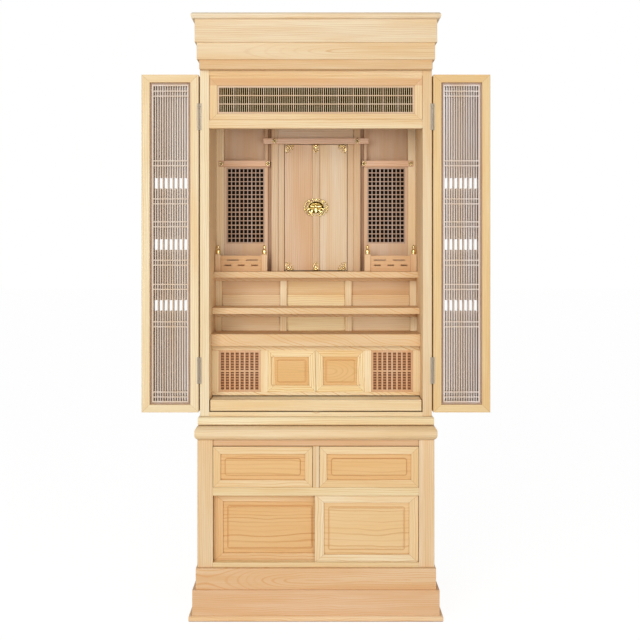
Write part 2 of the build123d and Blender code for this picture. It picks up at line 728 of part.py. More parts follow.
# Shrine and wings
def shrine_case():
    back = SHRINE_FRONT + POST_DEPTH
    pillar = block(PILLAR_INNER, PILLAR_OUTER, PILLAR_FRONT, back, DECK_TOP, CASE_TOP)
    jamb = block(JAMB_INNER, PILLAR_INNER, SHRINE_FRONT, back, DECK_TOP, NAGESHI_LOW)
    post = pillar + jamb
    save("shrine_posts", post, mirrored(post))
    side = block(SHRINE_WALL_INNER, SHRINE_WALL_OUTER, back, BACK_INNER, DECK_TOP, CASE_TOP)
    head = block(
        -PILLAR_INNER, PILLAR_INNER, SHRINE_FRONT, SHRINE_FRONT + HEAD_BOARD, NAGESHI_LOW, CASE_TOP
    )
    socket = pivots(DOOR_LOW, DOOR_HIGH + SHRINE_HEAD_GAP, PIVOT_RADIUS + REST)[1]
    save("shrine_walls", side, mirrored(side), head - socket - mirrored(socket))


def nageshi():
    half = PILLAR_OUTER + NAGESHI_OVER
    face = PILLAR_FRONT - NAGESHI_DEPTH
    top = NAGESHI_LOW + NAGESHI_HIGH
    centre = block(-half, half, face, PILLAR_FRONT, NAGESHI_LOW, top)
    wing_face = WING_FRONT - NAGESHI_DEPTH
    wing_top = WING_NAGESHI_LOW + WING_NAGESHI_HIGH
    wing_end = WING_INNER - WING_NAGESHI_END
    wing = block(
        wing_end,
        WING_PILLAR_X + WING_NAGESHI_LAP,
        wing_face,
        WING_FRONT,
        WING_NAGESHI_LOW,
        wing_top,
    )
    save("nageshi_rails", centre, wing, mirrored(wing))
    level = (NAGESHI_LOW + top) / 2
    wing_level = (WING_NAGESHI_LOW + wing_top) / 2
    studs = []
    for x, z, front in (
        ((PILLAR_INNER + PILLAR_OUTER) / 2, level, face),
        (wing_end + STUD_RADIUS, wing_level, wing_face),
        (WING_PILLAR_X + WING_NAGESHI_LAP / 2, wing_level, wing_face),
    ):
        reach = 2 * STUD_RADIUS
        dome = Pos(x, front, z) * Sphere(STUD_RADIUS)
        stud = dome - block(x - reach, x + reach, front, front + reach, z - reach, z + reach)
        studs.extend([stud, mirrored(stud)])
    save("stud_covers", *studs)


def wings():
    low = DECK_TOP + WING_LATTICE_RISE
    opening = (
        WING_INNER + WING_LATTICE_INNER,
        STILE_INNER - WING_LATTICE_OUTER,
        low,
        low + WING_LATTICE_HIGH,
    )
    wing_top = WING_NAGESHI_LOW + WING_NAGESHI_HIGH
    back = WING_FRONT + WING_THICK
    wall = pierced((WING_INNER, STILE_INNER, DECK_TOP, wing_top), [opening], WING_FRONT, back)
    far = WING_FRONT + WING_RECESS
    inner_post = WING_INNER + WING_INNER_POST
    wall += block(WING_INNER, inner_post, WING_FRONT, far, DECK_TOP, CASE_TOP)
    wall += block(SHRINE_WALL_OUTER, STILE_INNER, far, far + PANEL, wing_top, CASE_TOP)
    strip = SHRINE_FRONT + POST_DEPTH
    wall += block(SHRINE_WALL_OUTER, inner_post, strip, strip + PANEL, DECK_TOP, CASE_TOP)
    wall += block(WING_INNER, STILE_INNER, WING_FRONT, far + PANEL, wing_top - PANEL, wing_top)
    front = WING_FRONT - WING_PILLAR_PROUD
    wall += block(WING_PILLAR_X, STILE_INNER, front, far, wing_top, CASE_TOP)
    wall += block(WING_PILLAR_X, STILE_INNER, front, WING_FRONT, DECK_TOP, wing_top)
    wall -= block(
        WING_PILLAR_X,
        WING_PILLAR_X + WING_NAGESHI_LAP,
        WING_FRONT - NAGESHI_DEPTH,
        WING_FRONT,
        WING_NAGESHI_LOW,
        wing_top,
    )
    save("wing_walls", wall, mirrored(wall))
    chosen = range(WING_COLUMN_STEP, WING_COLUMNS, WING_COLUMN_STEP)
    uprights = bar_centres(*opening[:2], WING_COLUMNS, WING_BAR, WING_BORDER, chosen)
    levels = bar_centres(*opening[2:], WING_ROWS, WING_BAR, WING_BORDER, WING_ROW_BARS)
    holes = grid(opening, uprights, levels, WING_BAR, WING_BORDER)
    front = WING_FRONT + SLIP
    lattice = pierced(opening, holes, front, front + WING_LATTICE_THICK)
    save("wing_lattices", lattice, mirrored(lattice))


def cap(x, y, z):
    """An onion-shaped cap on a newel."""
    profile = [
        (0, 0), (0.7, 0), (0.75, 0.1), (0.6, 0.25), (1, 0.45), (0.86, 0.68), (0.36, 0.85), (0, 1),
    ]
    points = [(CAP_RADIUS * wide, CAP_HIGH * high) for wide, high in profile]
    outline = make_face(Polyline(*points, points[0]))
    return Pos(x, y, z) * revolve(Plane.XZ * outline, Axis.Z)


def railings():
    inner = WING_INNER + NEWEL
    outer = RAILING_OUTER - NEWEL
    slots = []
    for rise, shares in zip(SLOT_ROWS, SLOT_SHARES):
        for left, right in shares:
            slots.append(
                (
                    inner + left * (outer - inner),
                    inner + right * (outer - inner),
                    DECK_TOP + rise,
                    DECK_TOP + rise + SLOT_HIGH,
                )
            )
    front = RAILING_FRONT + (NEWEL - RAILING_THICK) / 2
    rail = (inner, outer, DECK_TOP, DECK_TOP + RAILING_HIGH)
    panel = pierced(rail, slots, front, front + RAILING_THICK)
    caps = []
    back = RAILING_FRONT + NEWEL
    top = DECK_TOP + NEWEL_HIGH
    for x in (inner - NEWEL / 2, outer + NEWEL / 2):
        panel += block(x - NEWEL / 2, x + NEWEL / 2, RAILING_FRONT, back, DECK_TOP, top)
        crown = cap(x, RAILING_FRONT + NEWEL / 2, top)
        caps.extend([crown, mirrored(crown)])
    save("wing_railings", panel, mirrored(panel))
    save("railing_caps", *caps)


def shrine_doors():
    back = SHRINE_FRONT + SHRINE_DOOR_THICK
    seam = SHRINE_SEAM / 2
    right = block(seam, SHRINE_DOOR_HALF, SHRINE_FRONT, back, DOOR_LOW, DOOR_HIGH)
    left = block(-SHRINE_DOOR_HALF, -seam, SHRINE_FRONT + SLIP, back, DOOR_LOW, DOOR_HIGH)
    for pin in pivots(DOOR_LOW, DOOR_HIGH, PIVOT_RADIUS):
        right += pin
        left += mirrored(pin)
    save("shrine_door_right", right)
    save("shrine_door_left", left)
    half = BATTEN_WIDE / 2
    face = SHRINE_FRONT - BATTEN_THICK
    save("door_batten", block(-half, half, face, SHRINE_FRONT, DOOR_LOW, DOOR_HIGH))
    edge = SHRINE_DOOR_HALF - CORNER_PLATE_IN
    plates = []
    ends = []
    for z, way in ((DOOR_LOW, 1), (DOOR_HIGH, -1)):
        tip = z + way * CORNER_PLATE
        outline = Polyline((edge, z), (edge, tip), (edge - CORNER_PLATE, z), (edge, z))
        corner = Plane.XZ.offset(-SHRINE_FRONT) * make_face(outline)
        plates.append(extrude(corner, BRASS, dir=(0, -1, 0)))
        ends.append(block(-half, half, face - BRASS, face, min(z, tip), max(z, tip)))
    save("shrine_fittings_left", *[Pos(0, SLIP, 0) * mirrored(plate) for plate in plates])
    oval = Pos(0, DECK_TOP + LOCK_RISE) * Ellipse(LOCK_WIDE / 2, LOCK_HIGH / 2)
    lock = extrude(Plane.XZ.offset(-face) * oval, BRASS, dir=(0, -1, 0))
    save("shrine_fittings_right", *plates, *ends, lock)


# Drawers and sliding doors
def drawers():
    inner = DIVIDER_WIDE / 2 + SIDE_CLEAR
    outer = BASE_INNER - SIDE_CLEAR
    low = MID_RAIL_TOP + REST
    high = TOP_RAIL_BOTTOM - DRAWER_TOP_CLEAR
    back = BASE_FRONT + FACE_THICK
    face = framed_face(
        (inner, outer, low, high), BASE_FRONT, back, FACE_FRAME, FACE_FRAME, FIELD_MARGIN
    )
    far = back + DRAWER_DEEP
    left = inner + DRAWER_INSET
    right = outer - DRAWER_INSET
    tray = block(left, right, back, far, low, high - DRAWER_DROP)
    tray -= block(
        left + DRAWER_WALL,
        right - DRAWER_WALL,
        back,
        far - DRAWER_WALL,
        low + DRAWER_BOTTOM,
        high - DRAWER_DROP,
    )
    save("drawer_right", face + tray)
    save("drawer_left", mirrored(face + tray))


def sliding_doors():
    reach = BASE_INNER - SIDE_CLEAR
    back = SLIDE_FRONT + SLIDE_THICK
    right = framed_face(
        (-SLIDE_LAP, reach, SLIDE_LOW, SLIDE_HIGH),
        SLIDE_FRONT,
        back,
        SLIDE_STILE,
        SLIDE_RAIL,
        SLIDE_MARGIN,
    )
    left = framed_face(
        (-reach, SLIDE_LAP + SLIDE_STILE, SLIDE_LOW, SLIDE_HIGH),
        SLIDE_FRONT + SLIDE_TRACK,
        back + SLIDE_TRACK,
        SLIDE_STILE,
        SLIDE_RAIL,
        SLIDE_MARGIN,
    )
    save("sliding_door_right", right)
    save("sliding_door_left", left)


plinth()
lower_cabinet()
panels()
waist()
case_frame()
transom()
cornice()
folding_doors()
door_hinges()
decks()
risers()
niche()
pull_out_shelf()
shrine_case()
nageshi()
wings()
railings()
shrine_doors()
drawers()
sliding_doors()
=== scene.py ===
"""Dresses a standing ancestral altar in bare cypress and gilt fittings, on a plain white ground."""

import math

import bmesh
import bpy
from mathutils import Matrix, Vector


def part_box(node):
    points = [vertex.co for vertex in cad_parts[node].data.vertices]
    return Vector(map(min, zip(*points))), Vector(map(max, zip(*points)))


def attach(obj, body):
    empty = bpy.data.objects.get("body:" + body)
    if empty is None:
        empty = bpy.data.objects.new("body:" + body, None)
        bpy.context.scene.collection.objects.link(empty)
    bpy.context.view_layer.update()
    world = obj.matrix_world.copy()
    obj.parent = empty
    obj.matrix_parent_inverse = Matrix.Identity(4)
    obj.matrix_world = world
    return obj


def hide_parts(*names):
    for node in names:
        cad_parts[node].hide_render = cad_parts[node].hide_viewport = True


bl_info = {
    "name": "Cypress Altar",
    "version": (1, 0, 0),
    "blender": (4, 5, 0),
    "location": "3D View > Sidebar > Altar",
    "description": "Cypress woods, fine lattice bars and gilt fittings for a standing altar",
    "category": "Object",
}

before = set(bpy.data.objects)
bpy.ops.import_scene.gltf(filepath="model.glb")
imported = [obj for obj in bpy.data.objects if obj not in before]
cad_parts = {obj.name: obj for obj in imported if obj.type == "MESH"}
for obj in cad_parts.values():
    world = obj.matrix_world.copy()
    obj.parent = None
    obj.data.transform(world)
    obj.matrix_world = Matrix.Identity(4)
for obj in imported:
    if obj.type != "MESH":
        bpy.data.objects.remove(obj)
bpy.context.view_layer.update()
CASE = "altar_case"

# Heights of the joints from one board to the next, in metres like every length here
PLINTH_JOINTS = (0.0, 0.016, 0.085, 0.142)
BASE_JOINTS = (0.142, 0.155, 0.337, 0.3595, 0.4716, 0.489)
WAIST_JOINTS = (0.489, 0.526, 0.55)
CORNICE_JOINTS = (1.499, 1.524, 1.57, 1.633)
STEP_JOINTS = (0.724, 0.738, 0.771, 0.826, 0.843)
RISER_JOINT = 0.8751
RISER_MIDDLE = 0.085
SHELF_TOP = 0.5938
NICHE_RAIL_FOOT = 0.622
TRANSOM_FACE_TOP = 1.4775
WING_START = 0.141
WING_WALL_END = 0.27

# Tints of a wood: late wood, the two ends of its slow streaks, raised fields, mitre joints, and the
# painted shade round raised fields and in corners and gaps
LATE_WOOD = (0.8, 0.58, 0.38)
PALE_STREAK = (1.03, 1.06, 1.12)
DEEP_STREAK = (0.96, 0.86, 0.74)
FIELD_TONE = (0.93, 0.74, 0.52)
MITRE_TONE = (0.5, 0.34, 0.2)
FIELD_EDGE_SHADE_TONE = (0.66, 0.38, 0.18)
HOLLOW_SHADE_TONE = (0.42, 0.24, 0.12)

# Growth rings: how they wander along and across a board, and how far
DRIFT_ALONG, DRIFT_ACROSS, DRIFT_REACH = 1.3, 5.0, 0.022
WAVE_ALONG, WAVE_REACH = 7.0, 0.02
QUIVER_ALONG, QUIVER_ACROSS, QUIVER_REACH = 11.0, 30.0, 0.022
RING_LEAN = 0.6
RING_EDGES = (0.55, 0.98)
FADE_ALONG, FADE_ACROSS = 1.1, 60.0
FADE_RANGE = (0.34, 0.66, 0.15, 1.0)
RING_FAINT, RING_FIGURE = 0.3, 0.75

# Arched rings: how deep the arch's middle lies in the board, and how it comes and goes
ARCH_DEPTH, ARCH_LEAN, ARCH_TURNS, ARCH_REACH = 0.048, 0.5, 3.75, 0.02
ARCH_DRIFT = 0.8
ARCH_PLACE = 3.7

# How much streaks and fibres are drawn out: along the grain, across it and into the board
STREAK_SCALES = (1.8, 22.0, 14.0)
FIBRE_SCALES = (8.0, 420.0, 420.0)

# Shifts that give each board, each upright and each side of the altar wood of its own
BOARD_SHIFT = 0.83
UPRIGHT_SHIFT = 0.37
SIDE_SHIFT = 0.53

# Framed boards: where the field starts, the mitre's width, and the dark line of painted shade round
# the raised field's edge
FIELD_START = 0.99
MITRE_GAP = 0.03
FIELD_MARGIN = 0.0125
FIELD_CORNER = 0.006
FIELD_EDGE_SHADE_WIDTH = 0.0032
NICHE_MARGIN = 0.008
RAILING_RAIL = 0.004

# Each row: nodes, material, wood and its tint, grain, figure, seed, and what else wood() is told
BOARDS = (
    ("cabinet_stiles", "case_upright", "case", (0.97, 1.01, 1.03), "Z", 0.3, 0.0, dict(
        sides=True, zones=(("right", 0.0, (0.94, 0.87, 0.82)),))),
    ("base_posts drawer_divider", "base_upright", "case", (0.92, 0.86, 0.8), "Z", 0.35, 1.4, dict(
        sides=True, zones=(("right", 0.05, (1.04, 1.07, 1.15)),))),
    ("side_panels", "side_panel_wood", "case", (1.08, 1.08, 1.08), "Z", 0.35, 1.7,
     dict(sides=True)),
    ("shelf_frame", "case_level", "case", (0.98, 0.97, 0.9), "X", 0.3, 0.3, {}),
    # The pull-out shelf's top face, above SHELF_TOP, is paler: painted light where the lamps fall
    # on it
    ("pull_out_shelf", "shelf_board", "case", (0.98, 0.97, 0.9), "X", 0.3, 0.6, dict(
        zones=(("above", SHELF_TOP, (1.08, 1.25, 1.5)),))),
    ("transom_lattice", "transom_lattice_wood", "case", (0.84, 0.8, 0.88), "X", 0.2, 0.8, {}),
    # The base rails' top rail, above BASE_JOINTS[4], is darker: painted shadow under the waist
    # moulding
    ("base_rails", "base_rail", "case", (0.95, 0.93, 0.82), "X", 0.35, 2.2, dict(
        joints=BASE_JOINTS, zones=(("above", BASE_JOINTS[4], (0.88, 0.75, 0.77)),))),
    ("cornice", "cornice_board", "case", (0.86, 0.76, 0.66), "wrap", 0.3, 0.7, dict(
        joints=CORNICE_JOINTS, flats=(0.0, 1.0, 0.0), spacing=0.8, heart=(-0.24, 0.1, 0.03, 0.004),
        zones=(("above", CORNICE_JOINTS[1], (1.07, 1.16, 1.26)),
               ("above", CORNICE_JOINTS[2], (1.02, 1.08, 1.18))))),
    ("waist_moulding", "waist_board", "case", (0.97, 0.93, 0.87), "wrap", 0.3, 1.2, dict(
        joints=WAIST_JOINTS, zones=(("above", WAIST_JOINTS[1], (1.06, 1.18, 1.25)),))),
    ("top_board", "crown_board", "case", (1.0, 1.05, 1.15), "wrap", 0.3, 1.9, {}),
    ("plinth", "plinth_board", "plinth", (1.13, 1.22, 1.29), "wrap", 0.7, 2.1, dict(
        joints=PLINTH_JOINTS, flats=(0.0, 0.0, 1.0), bends=6.0, spacing=0.9,
        heart=(-0.3, -0.02, 0.045, 0.003),
        zones=(("above", PLINTH_JOINTS[1], (0.89, 0.84, 0.86)),
               ("above", PLINTH_JOINTS[2], (1.0, 0.99, 0.92))))),
    # reach=0.022 spreads the painted shade over the bars' sides and over the rear leaf's bars
    ("left_door_lattices", "left_door_lattices_wood", "case", (0.86, 0.92, 1.2), "Z", 0.2, 8.3,
     dict(reach=0.022)),
    ("right_door_lattices", "right_door_lattices_wood", "case", (0.9, 0.99, 1.38), "Z", 0.2, 8.3,
     dict(reach=0.022)),
    ("base_shelves back_panels", "inner_level", "inner", (1.0, 1.0, 1.0), "X", 0.4, 3.1, {}),
    # The strip inside WING_START, beside the shrine pillars, is darker: painted shade in that gap
    ("wing_walls", "inner_upright", "inner", (1.24, 1.55, 1.75), "Z", 0.35, 4.2, dict(
        sides=True, zones=(("inside", WING_WALL_END, (0.78, 0.68, 0.69)),
                           ("inside", WING_START, (0.68, 0.62, 0.63))))),
    ("shrine_walls", "shrine_wall_wood", "inner", (1.12, 1.3, 1.5), "X", 0.3, 4.9, {}),
    # Below STEP_JOINTS[1], the rail under the lowest step and the niche floor are paler: painted
    # light against the shade the nosings above cast
    ("altar_deck step_boards niche_floor", "step_board", "inner", (1.2, 1.45, 1.5), "X", 0.6, 5.3,
     dict(joints=STEP_JOINTS, wave=1.0, spacing=1.3, boost=1.8, slant=0.35,
          zones=(("above", STEP_JOINTS[1], (0.88, 0.78, 0.71)),))),
    ("nageshi_rails", "nageshi_wood", "inner", (1.07, 1.09, 1.24), "X", 0.45, 5.9, dict(wave=0.4)),
    ("shrine_posts door_batten", "inner_post", "inner", (0.97, 1.08, 1.14), "Z", 0.3, 6.1,
     dict(sides=True)),
    ("step_posts", "pale_post", "case", (1.06, 1.12, 1.15), "Z", 0.3, 6.4, dict(sides=True)),
    ("riser_panels", "riser_board", "case", (1.0, 0.99, 0.97), "X", 0.35, 6.9, dict(
        zones=(("above", RISER_JOINT, (0.84, 0.75, 0.7)),
               ("inside", RISER_MIDDLE, (1.11, 1.18, 1.1))))),
    ("shrine_door_left", "shrine_door_left_wood", "shrine", (1.0, 1.04, 1.12), "Z", 0.3, 9.1, {}),
    ("shrine_door_right", "shrine_door_right_wood", "shrine", (1.07, 1.25, 1.42), "Z", 0.3, 11.4,
     {}),
    ("wing_lattices", "wing_lattice_wood", "inner", (0.72, 0.78, 0.98), "Z", 0.2, 18.1, {}),
    ("niche_lattices", "niche_lattice_wood", "inner", (0.95, 0.9, 0.85), "Z", 0.2, 18.9, {}),
    # The niche's set-back cross bars and the board behind them are darkened: painted shade behind
    # the uprights
    ("", "niche_cross_wood", "inner", (0.78, 0.62, 0.54), "X", 0.3, 19.2, {}),
    ("", "niche_backing_wood", "inner", (0.55, 0.42, 0.32), "X", 0.4, 19.6, {}),
)

# Framed drawers and sliding doors: node, tint, stile, rail, seed and the tone of the field
FRAMED = (
    ("drawer_left", (0.97, 0.9, 0.78), 0.02, 0.02, 13.0, FIELD_TONE),
    ("drawer_right", (0.97, 0.9, 0.78), 0.02, 0.02, 14.7, FIELD_TONE),
    # The left sliding door, behind the right one, is tinted darker: painted shade
    ("sliding_door_left", (0.94, 0.82, 0.68), 0.025, 0.022, 15.2, (0.96, 0.84, 0.66)),
    ("sliding_door_right", (1.0, 1.02, 1.02), 0.025, 0.022, 16.9, FIELD_TONE),
)
# Words in the names of nodes whose edges stay sharp
SHARP_WORDS = ("lattice", "fittings", "hinges", "covers", "caps", "base_shelves", "back_panels")

# Spacing of the lattices, in cells and metres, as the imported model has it
DOOR_CELLS = 14
DOOR_BORDER = 0.0096
DOOR_LATTICE = 0.008
DOOR_WINDOWS = (0.8535, 1.0214, 1.1904)
TRANSOM_CELLS = 91
TRANSOM_MAIN = 7
TRANSOM_BORDER = 0.0055
WING_COLUMNS = 9
WING_MAIN = 3
WING_ROWS = 17
WING_MAIN_ROWS = (4, 7, 10, 13)
WING_BORDER = 0.004
WING_WIDE = 0.1122
NICHE_ROWS = 14
NICHE_BORDER = 0.0065
NICHE_WIDE = 0.1184
NICHE_BAR_SETBACK = 0.0025
BACKING_GAP = 0.0002
CLOTH_THICK = 0.002
BACKING_THICK = 0.0058

# Studs and caps of the railings
STUD_PLACES = ((0.1205, -0.007, 1.324), (0.141, 0.013, 1.2595), (0.2775, 0.013, 1.2595))
STUD_PETALS = 6
PETAL_REACH = 0.005
PETAL_SIZE = (0.0068, 0.005, 0.0024)
BOSS_SIZE = (0.0044, 0.0044, 0.0052)
CAP_PROFILE = (
    (0.0, 0.0), (1.0, 0.0), (1.0, 0.06), (0.84, 0.1), (0.9, 0.18), (0.98, 0.3), (0.9, 0.4),
    (0.66, 0.5), (0.44, 0.57), (0.4, 0.61), (0.56, 0.67), (0.66, 0.75), (0.58, 0.84),
    (0.34, 0.92), (0.12, 0.97), (0.0, 1.0),
)

# Corner plates, as shares of their size: leaves by place, length, width and angle in half turns,
# those off the diagonal mirrored across it, and curls by place, radius, start and sweep
CORNER_SIZE = 0.027
CORNER_THICK = 0.0012
CORNER_LEAVES = (
    (0.3, 0.3, 0.5, 0.2, 0.25), (0.16, 0.16, 0.22, 0.14, 0.25), (0.44, 0.2, 0.34, 0.13, 0.1),
    (0.7, 0.13, 0.36, 0.13, 0.06), (0.6, 0.28, 0.24, 0.11, 0.36), (0.86, 0.08, 0.2, 0.09, 0.02),
    (0.72, 0.5, 0.26, 0.11, 0.2), (0.86, 0.3, 0.22, 0.1, 0.4),
)
CORNER_CURLS = (
    (0.62, 0.2, 0.13, 1.0, 4.6), (0.2, 0.62, 0.13, 0.57, -4.6), (0.47, 0.46, 0.11, 3.9, 4.4),
)

# Plates on the batten's ends, as shares of its width: leaves as above, mirrored about the middle
BATTEN_LEAVES = (
    (0.0, 0.42, 0.85, 0.26, 0.5), (0.0, 0.12, 0.3, 0.55, 0.5), (0.26, 0.3, 0.6, 0.2, 0.36),
    (0.3, 0.62, 0.52, 0.18, 0.62), (0.16, 0.92, 0.42, 0.18, 0.6), (0.0, 1.12, 0.36, 0.2, 0.5),
    (0.36, 0.08, 0.3, 0.14, 0.1),
)
BATTEN_THICK = 0.0017
BATTEN_CURL_THICK = 0.0015
CURL_SWEEP = 4.6

# Lock plate: rims by share and thickness, curls by angle, radius and sweep, leaves by place,
# length, width and angle in degrees, and the lumps of its middle by place, size, angle and point
LOCK_MIDDLE = 1.131
LOCK_WIDE = 0.07
LOCK_HIGH = 0.052
LOCK_GROUND_SHARE = 0.66
LOCK_GROUND_RISE = 0.02
LOCK_GROUND_THICK = 0.0004
LOCK_RIMS = ((0.95, 0.0014), (0.66, 0.0016))
LOCK_CURL_RING = 0.8
LOCK_CURL_THICK = 0.0017
LOCK_LEAF_THICK = 0.0021
LOCK_CURLS = (
    (-72.0, 0.1, 4.6), (-46.0, 0.12, -4.6), (-20.0, 0.12, 4.6), (8.0, 0.12, -4.6),
    (34.0, 0.12, 4.6), (58.0, 0.11, -4.6), (80.0, 0.08, 4.6),
)
LOCK_LEAVES = (
    (0.94, -0.24, 0.16, 0.08, -70.0), (0.84, -0.52, 0.16, 0.08, -50.0),
    (0.62, -0.78, 0.16, 0.08, -30.0), (0.3, -0.94, 0.16, 0.08, -10.0),
    (0.97, 0.1, 0.16, 0.08, 90.0), (0.86, 0.46, 0.16, 0.08, 120.0),
    (0.6, 0.76, 0.18, 0.08, 145.0), (0.26, 0.9, 0.18, 0.08, 165.0),
    (0.34, -0.44, 0.34, 0.13, -60.0), (0.6, -0.2, 0.3, 0.12, -28.0),
    (0.52, -0.5, 0.24, 0.1, -50.0),
)
LOCK_LUMPS = (
    (-0.29, 0.1, 0.4, 0.19, 0.0046, -0.22, 0.0, 4, 18),
    (0.29, 0.1, 0.4, 0.19, 0.0046, 0.22, 0.0, 4, 18),
    (0.0, 0.12, 0.2, 0.24, 0.0052, 0.0, 0.0, 4, 18),
    (0.0, 0.42, 0.16, 0.14, 0.0032, 0.0, 0.0, 3, 14),
    (0.0, -0.34, 0.44, 0.24, 0.0026, -0.5 * math.pi, 0.7, 3, 16),
)

# Hinges of the folding doors
HINGE_PLACE = 0.3197
HINGE_MIDDLES = (0.6758, 1.3713)
HINGE_HIGH = 0.073
HINGE_LEAF = (0.0021, 0.0062)
HINGE_LEAF_THICK = 0.0009
HINGE_EDGE = 0.0002
HINGE_KNUCKLES = 5
KNUCKLE_GAP = 0.0004
KNUCKLE_RADII = ((0.0, 0.0), (0.002, 0.0), (0.0024, 0.0004))
SCREW_PLACE = 0.0045
SCREW_SETBACK = 0.0008
SCREW_SIZE = (0.0026, 0.0026, 0.0006)
SCREW_SHARES = (0.12, 0.5, 0.88)

# Stage: lamps by name, place, size, power and tint, and the camera in front of the altar
LAMPS = (
    ("key_light", (-1.2, -4.3, 1.9), 1.8, 77.0, (1.0, 0.99, 0.97)),
    ("fill_light", (1.0, -4.4, 0.55), 1.6, 41.0, (0.98, 0.99, 1.0)),
)
LAMP_TARGET = (0.0, 0.0, 0.95)
GROUND_HALF = 30.0
GROUND_GLOW = 1.14
GROUND_GLOW_SHARE = 0.8
WORLD_LIGHT = 0.38
CAMERA_PLACE = (0.0, -3.78, 1.0063)
CAMERA_LENS = 72.8
CAMERA_SENSOR = 36.0
CAMERA_SHIFT = (0.0064, -0.1094)
CAMERA_REACH = 100.0


# Properties
def colour_property(name, description, default):
    return bpy.props.FloatVectorProperty(
        name=name, description=description, subtype="COLOR", size=3, min=0.0, max=1.0,
        default=default,
    )


def length_property(name, description, default):
    return bpy.props.FloatProperty(
        name=name, description=description, subtype="DISTANCE", unit="LENGTH", min=0.0,
        default=default,
    )


class AltarWoods(bpy.types.PropertyGroup):
    case: colour_property("Case cypress", "Pale cypress of the outer case", (0.88, 0.71, 0.46))
    inner: colour_property("Inner cypress", "Pinker cypress inside the altar", (0.76, 0.51, 0.31))
    shrine: colour_property("Shrine doors", "Rosy cypress of the shrine doors", (0.76, 0.53, 0.33))
    plinth: colour_property("Plinth cypress", "Warm cypress of the plinth", (0.78, 0.52, 0.29))
    brass: colour_property("Gilt brass", "Pale gilt brass of the fittings", (0.88, 0.72, 0.38))
    hinge: colour_property("Hinge metal", "Satin metal of the hinges", (0.33, 0.28, 0.22))
    cloth: colour_property("Dark cloth", "Dark cloth behind the lattices", (0.013, 0.01, 0.008))


class AltarSizes(bpy.types.PropertyGroup):
    bar_recess: length_property("Bar recess", "How far finer bars lie behind the main bars", 0.0004)
    door_bar: length_property("Door bar", "Width of the folding doors' finer bars", 0.0028)
    window: length_property("Window", "Height of the bands where every other bar is cut", 0.029)
    transom_bar: length_property("Transom bar", "Width of the transom's main bars", 0.0021)
    transom_fine: length_property("Transom fine bar", "Width of the transom's finer bars", 0.0014)
    wing_bar: length_property("Wing bar", "Width of the wing lattices' finer bars", 0.0025)
    niche_bar: length_property("Niche bar", "Width of the lower lattices' cross bars", 0.0034)
    chamfer: length_property("Chamfer", "Chamfer on the edges of small bars", 0.0003)
    eased_edge: length_property("Eased edge", "Chamfer on the edges of the boards", 0.0007)
    ring_pitch: length_property("Ring pitch", "Distance from one growth ring to the next", 0.0064)


# Shader helpers
def step(operation):
    return lambda value, *others: calc(operation, value, *others)


class Value:
    """What a shader socket gives, for sums written as sums."""

    def __init__(self, tree, socket):
        self.tree = tree
        self.socket = socket

    def __rsub__(self, other):
        return calc("SUBTRACT", other, self)

    __add__ = step("ADD")
    __sub__ = step("SUBTRACT")
    __mul__ = step("MULTIPLY")
    __truediv__ = step("DIVIDE")
    __gt__ = step("GREATER_THAN")
    __lt__ = step("LESS_THAN")
    __abs__ = step("ABSOLUTE")


def feed(item, inputs):
    """Links a shader node's inputs to values, or sets them to plain numbers and colours."""
    for key, value in inputs.items():
        socket = item.inputs[key]
        if isinstance(value, Value):
            value.tree.links.new(value.socket, socket)
        elif isinstance(value, (int, float)):
            socket.default_value = value
        else:
            socket.default_value = (*value, 1.0)[: len(socket.default_value)]


def make(tree, kind, inputs=None, output=0, **settings):
    """What one output of a new shader node gives."""
    item = tree.nodes.new("ShaderNode" + kind)
    for key, value in settings.items():
        setattr(item, key, value)
    feed(item, inputs or {})
    return Value(tree, item.outputs[output])


def calc(operation, *values):
    """One step of arithmetic with a value and plain numbers or further values."""
    tree = next(value.tree for value in values if isinstance(value, Value))
    return make(tree, "Math", dict(enumerate(values)), operation=operation)


def join_axes(x, y, z):
    return make(x.tree, "CombineXYZ", {0: x, 1: y, 2: z})


def split_axes(vector):
    item = vector.tree.nodes.new("ShaderNodeSeparateXYZ")
    feed(item, {0: vector})
    return [Value(vector.tree, output) for output in item.outputs]


def noise(vector, scale, detail, rough=0.5):
    inputs = {"Vector": vector, "Scale": scale, "Detail": detail, "Roughness": rough}
    return make(vector.tree, "TexNoise", inputs, "Fac")


def drawn_noise(axes, scales, detail, rough):
    """Noise drawn out by a scale for each axis."""
    drawn = (axis * scale for axis, scale in zip(axes, scales))
    return noise(join_axes(*drawn), 1.0, detail, rough)


def spread(value, low, high, out_low=0.0, out_high=1.0, smooth=True):
    inputs = {
        "Value": value, "From Min": low, "From Max": high, "To Min": out_low, "To Max": out_high,
    }
    curve = "SMOOTHSTEP" if smooth else "LINEAR"
    return make(
        value.tree, "MapRange", inputs, "Result", clamp=True, interpolation_type=curve
    )


def choose(factor, first, second):
    return make(factor.tree, "Mix", {0: factor, 2: first, 3: second}, data_type="FLOAT")


def blend(factor, first, second, kind="MIX"):
    """Two colours mixed, or the first multiplied by the second."""
    inputs = {0: factor, 6: first, 7: second}
    return make(factor.tree, "Mix", inputs, 2, data_type="RGBA", blend_type=kind)


def relief(height, strength, distance):
    inputs = {"Height": height, "Strength": strength, "Distance": distance}
    return make(height.tree, "Bump", inputs)


def new_material(name):
    material = bpy.data.materials.new(name)
    material.use_nodes = True
    return material, material.node_tree, material.node_tree.nodes["Principled BSDF"]


def object_place(tree):
    return make(tree, "TexCoord", output="Object")


def shade(colour, red, green, blue):
    """The same colour, darker, paler or redder."""
    return (colour[0] * red, colour[1] * green, colour[2] * blue)


def painted_hollow_shade(tone, dark, reach):
    """Paints shade into a colour where two boards meet or a groove runs, by how closed in each
    place is.
    """
    closed = make(tone.tree, "AmbientOcclusion", {"Distance": reach}, "AO", samples=6)
    return blend(spread(closed, 0.04, 0.66, smooth=False), dark, tone)


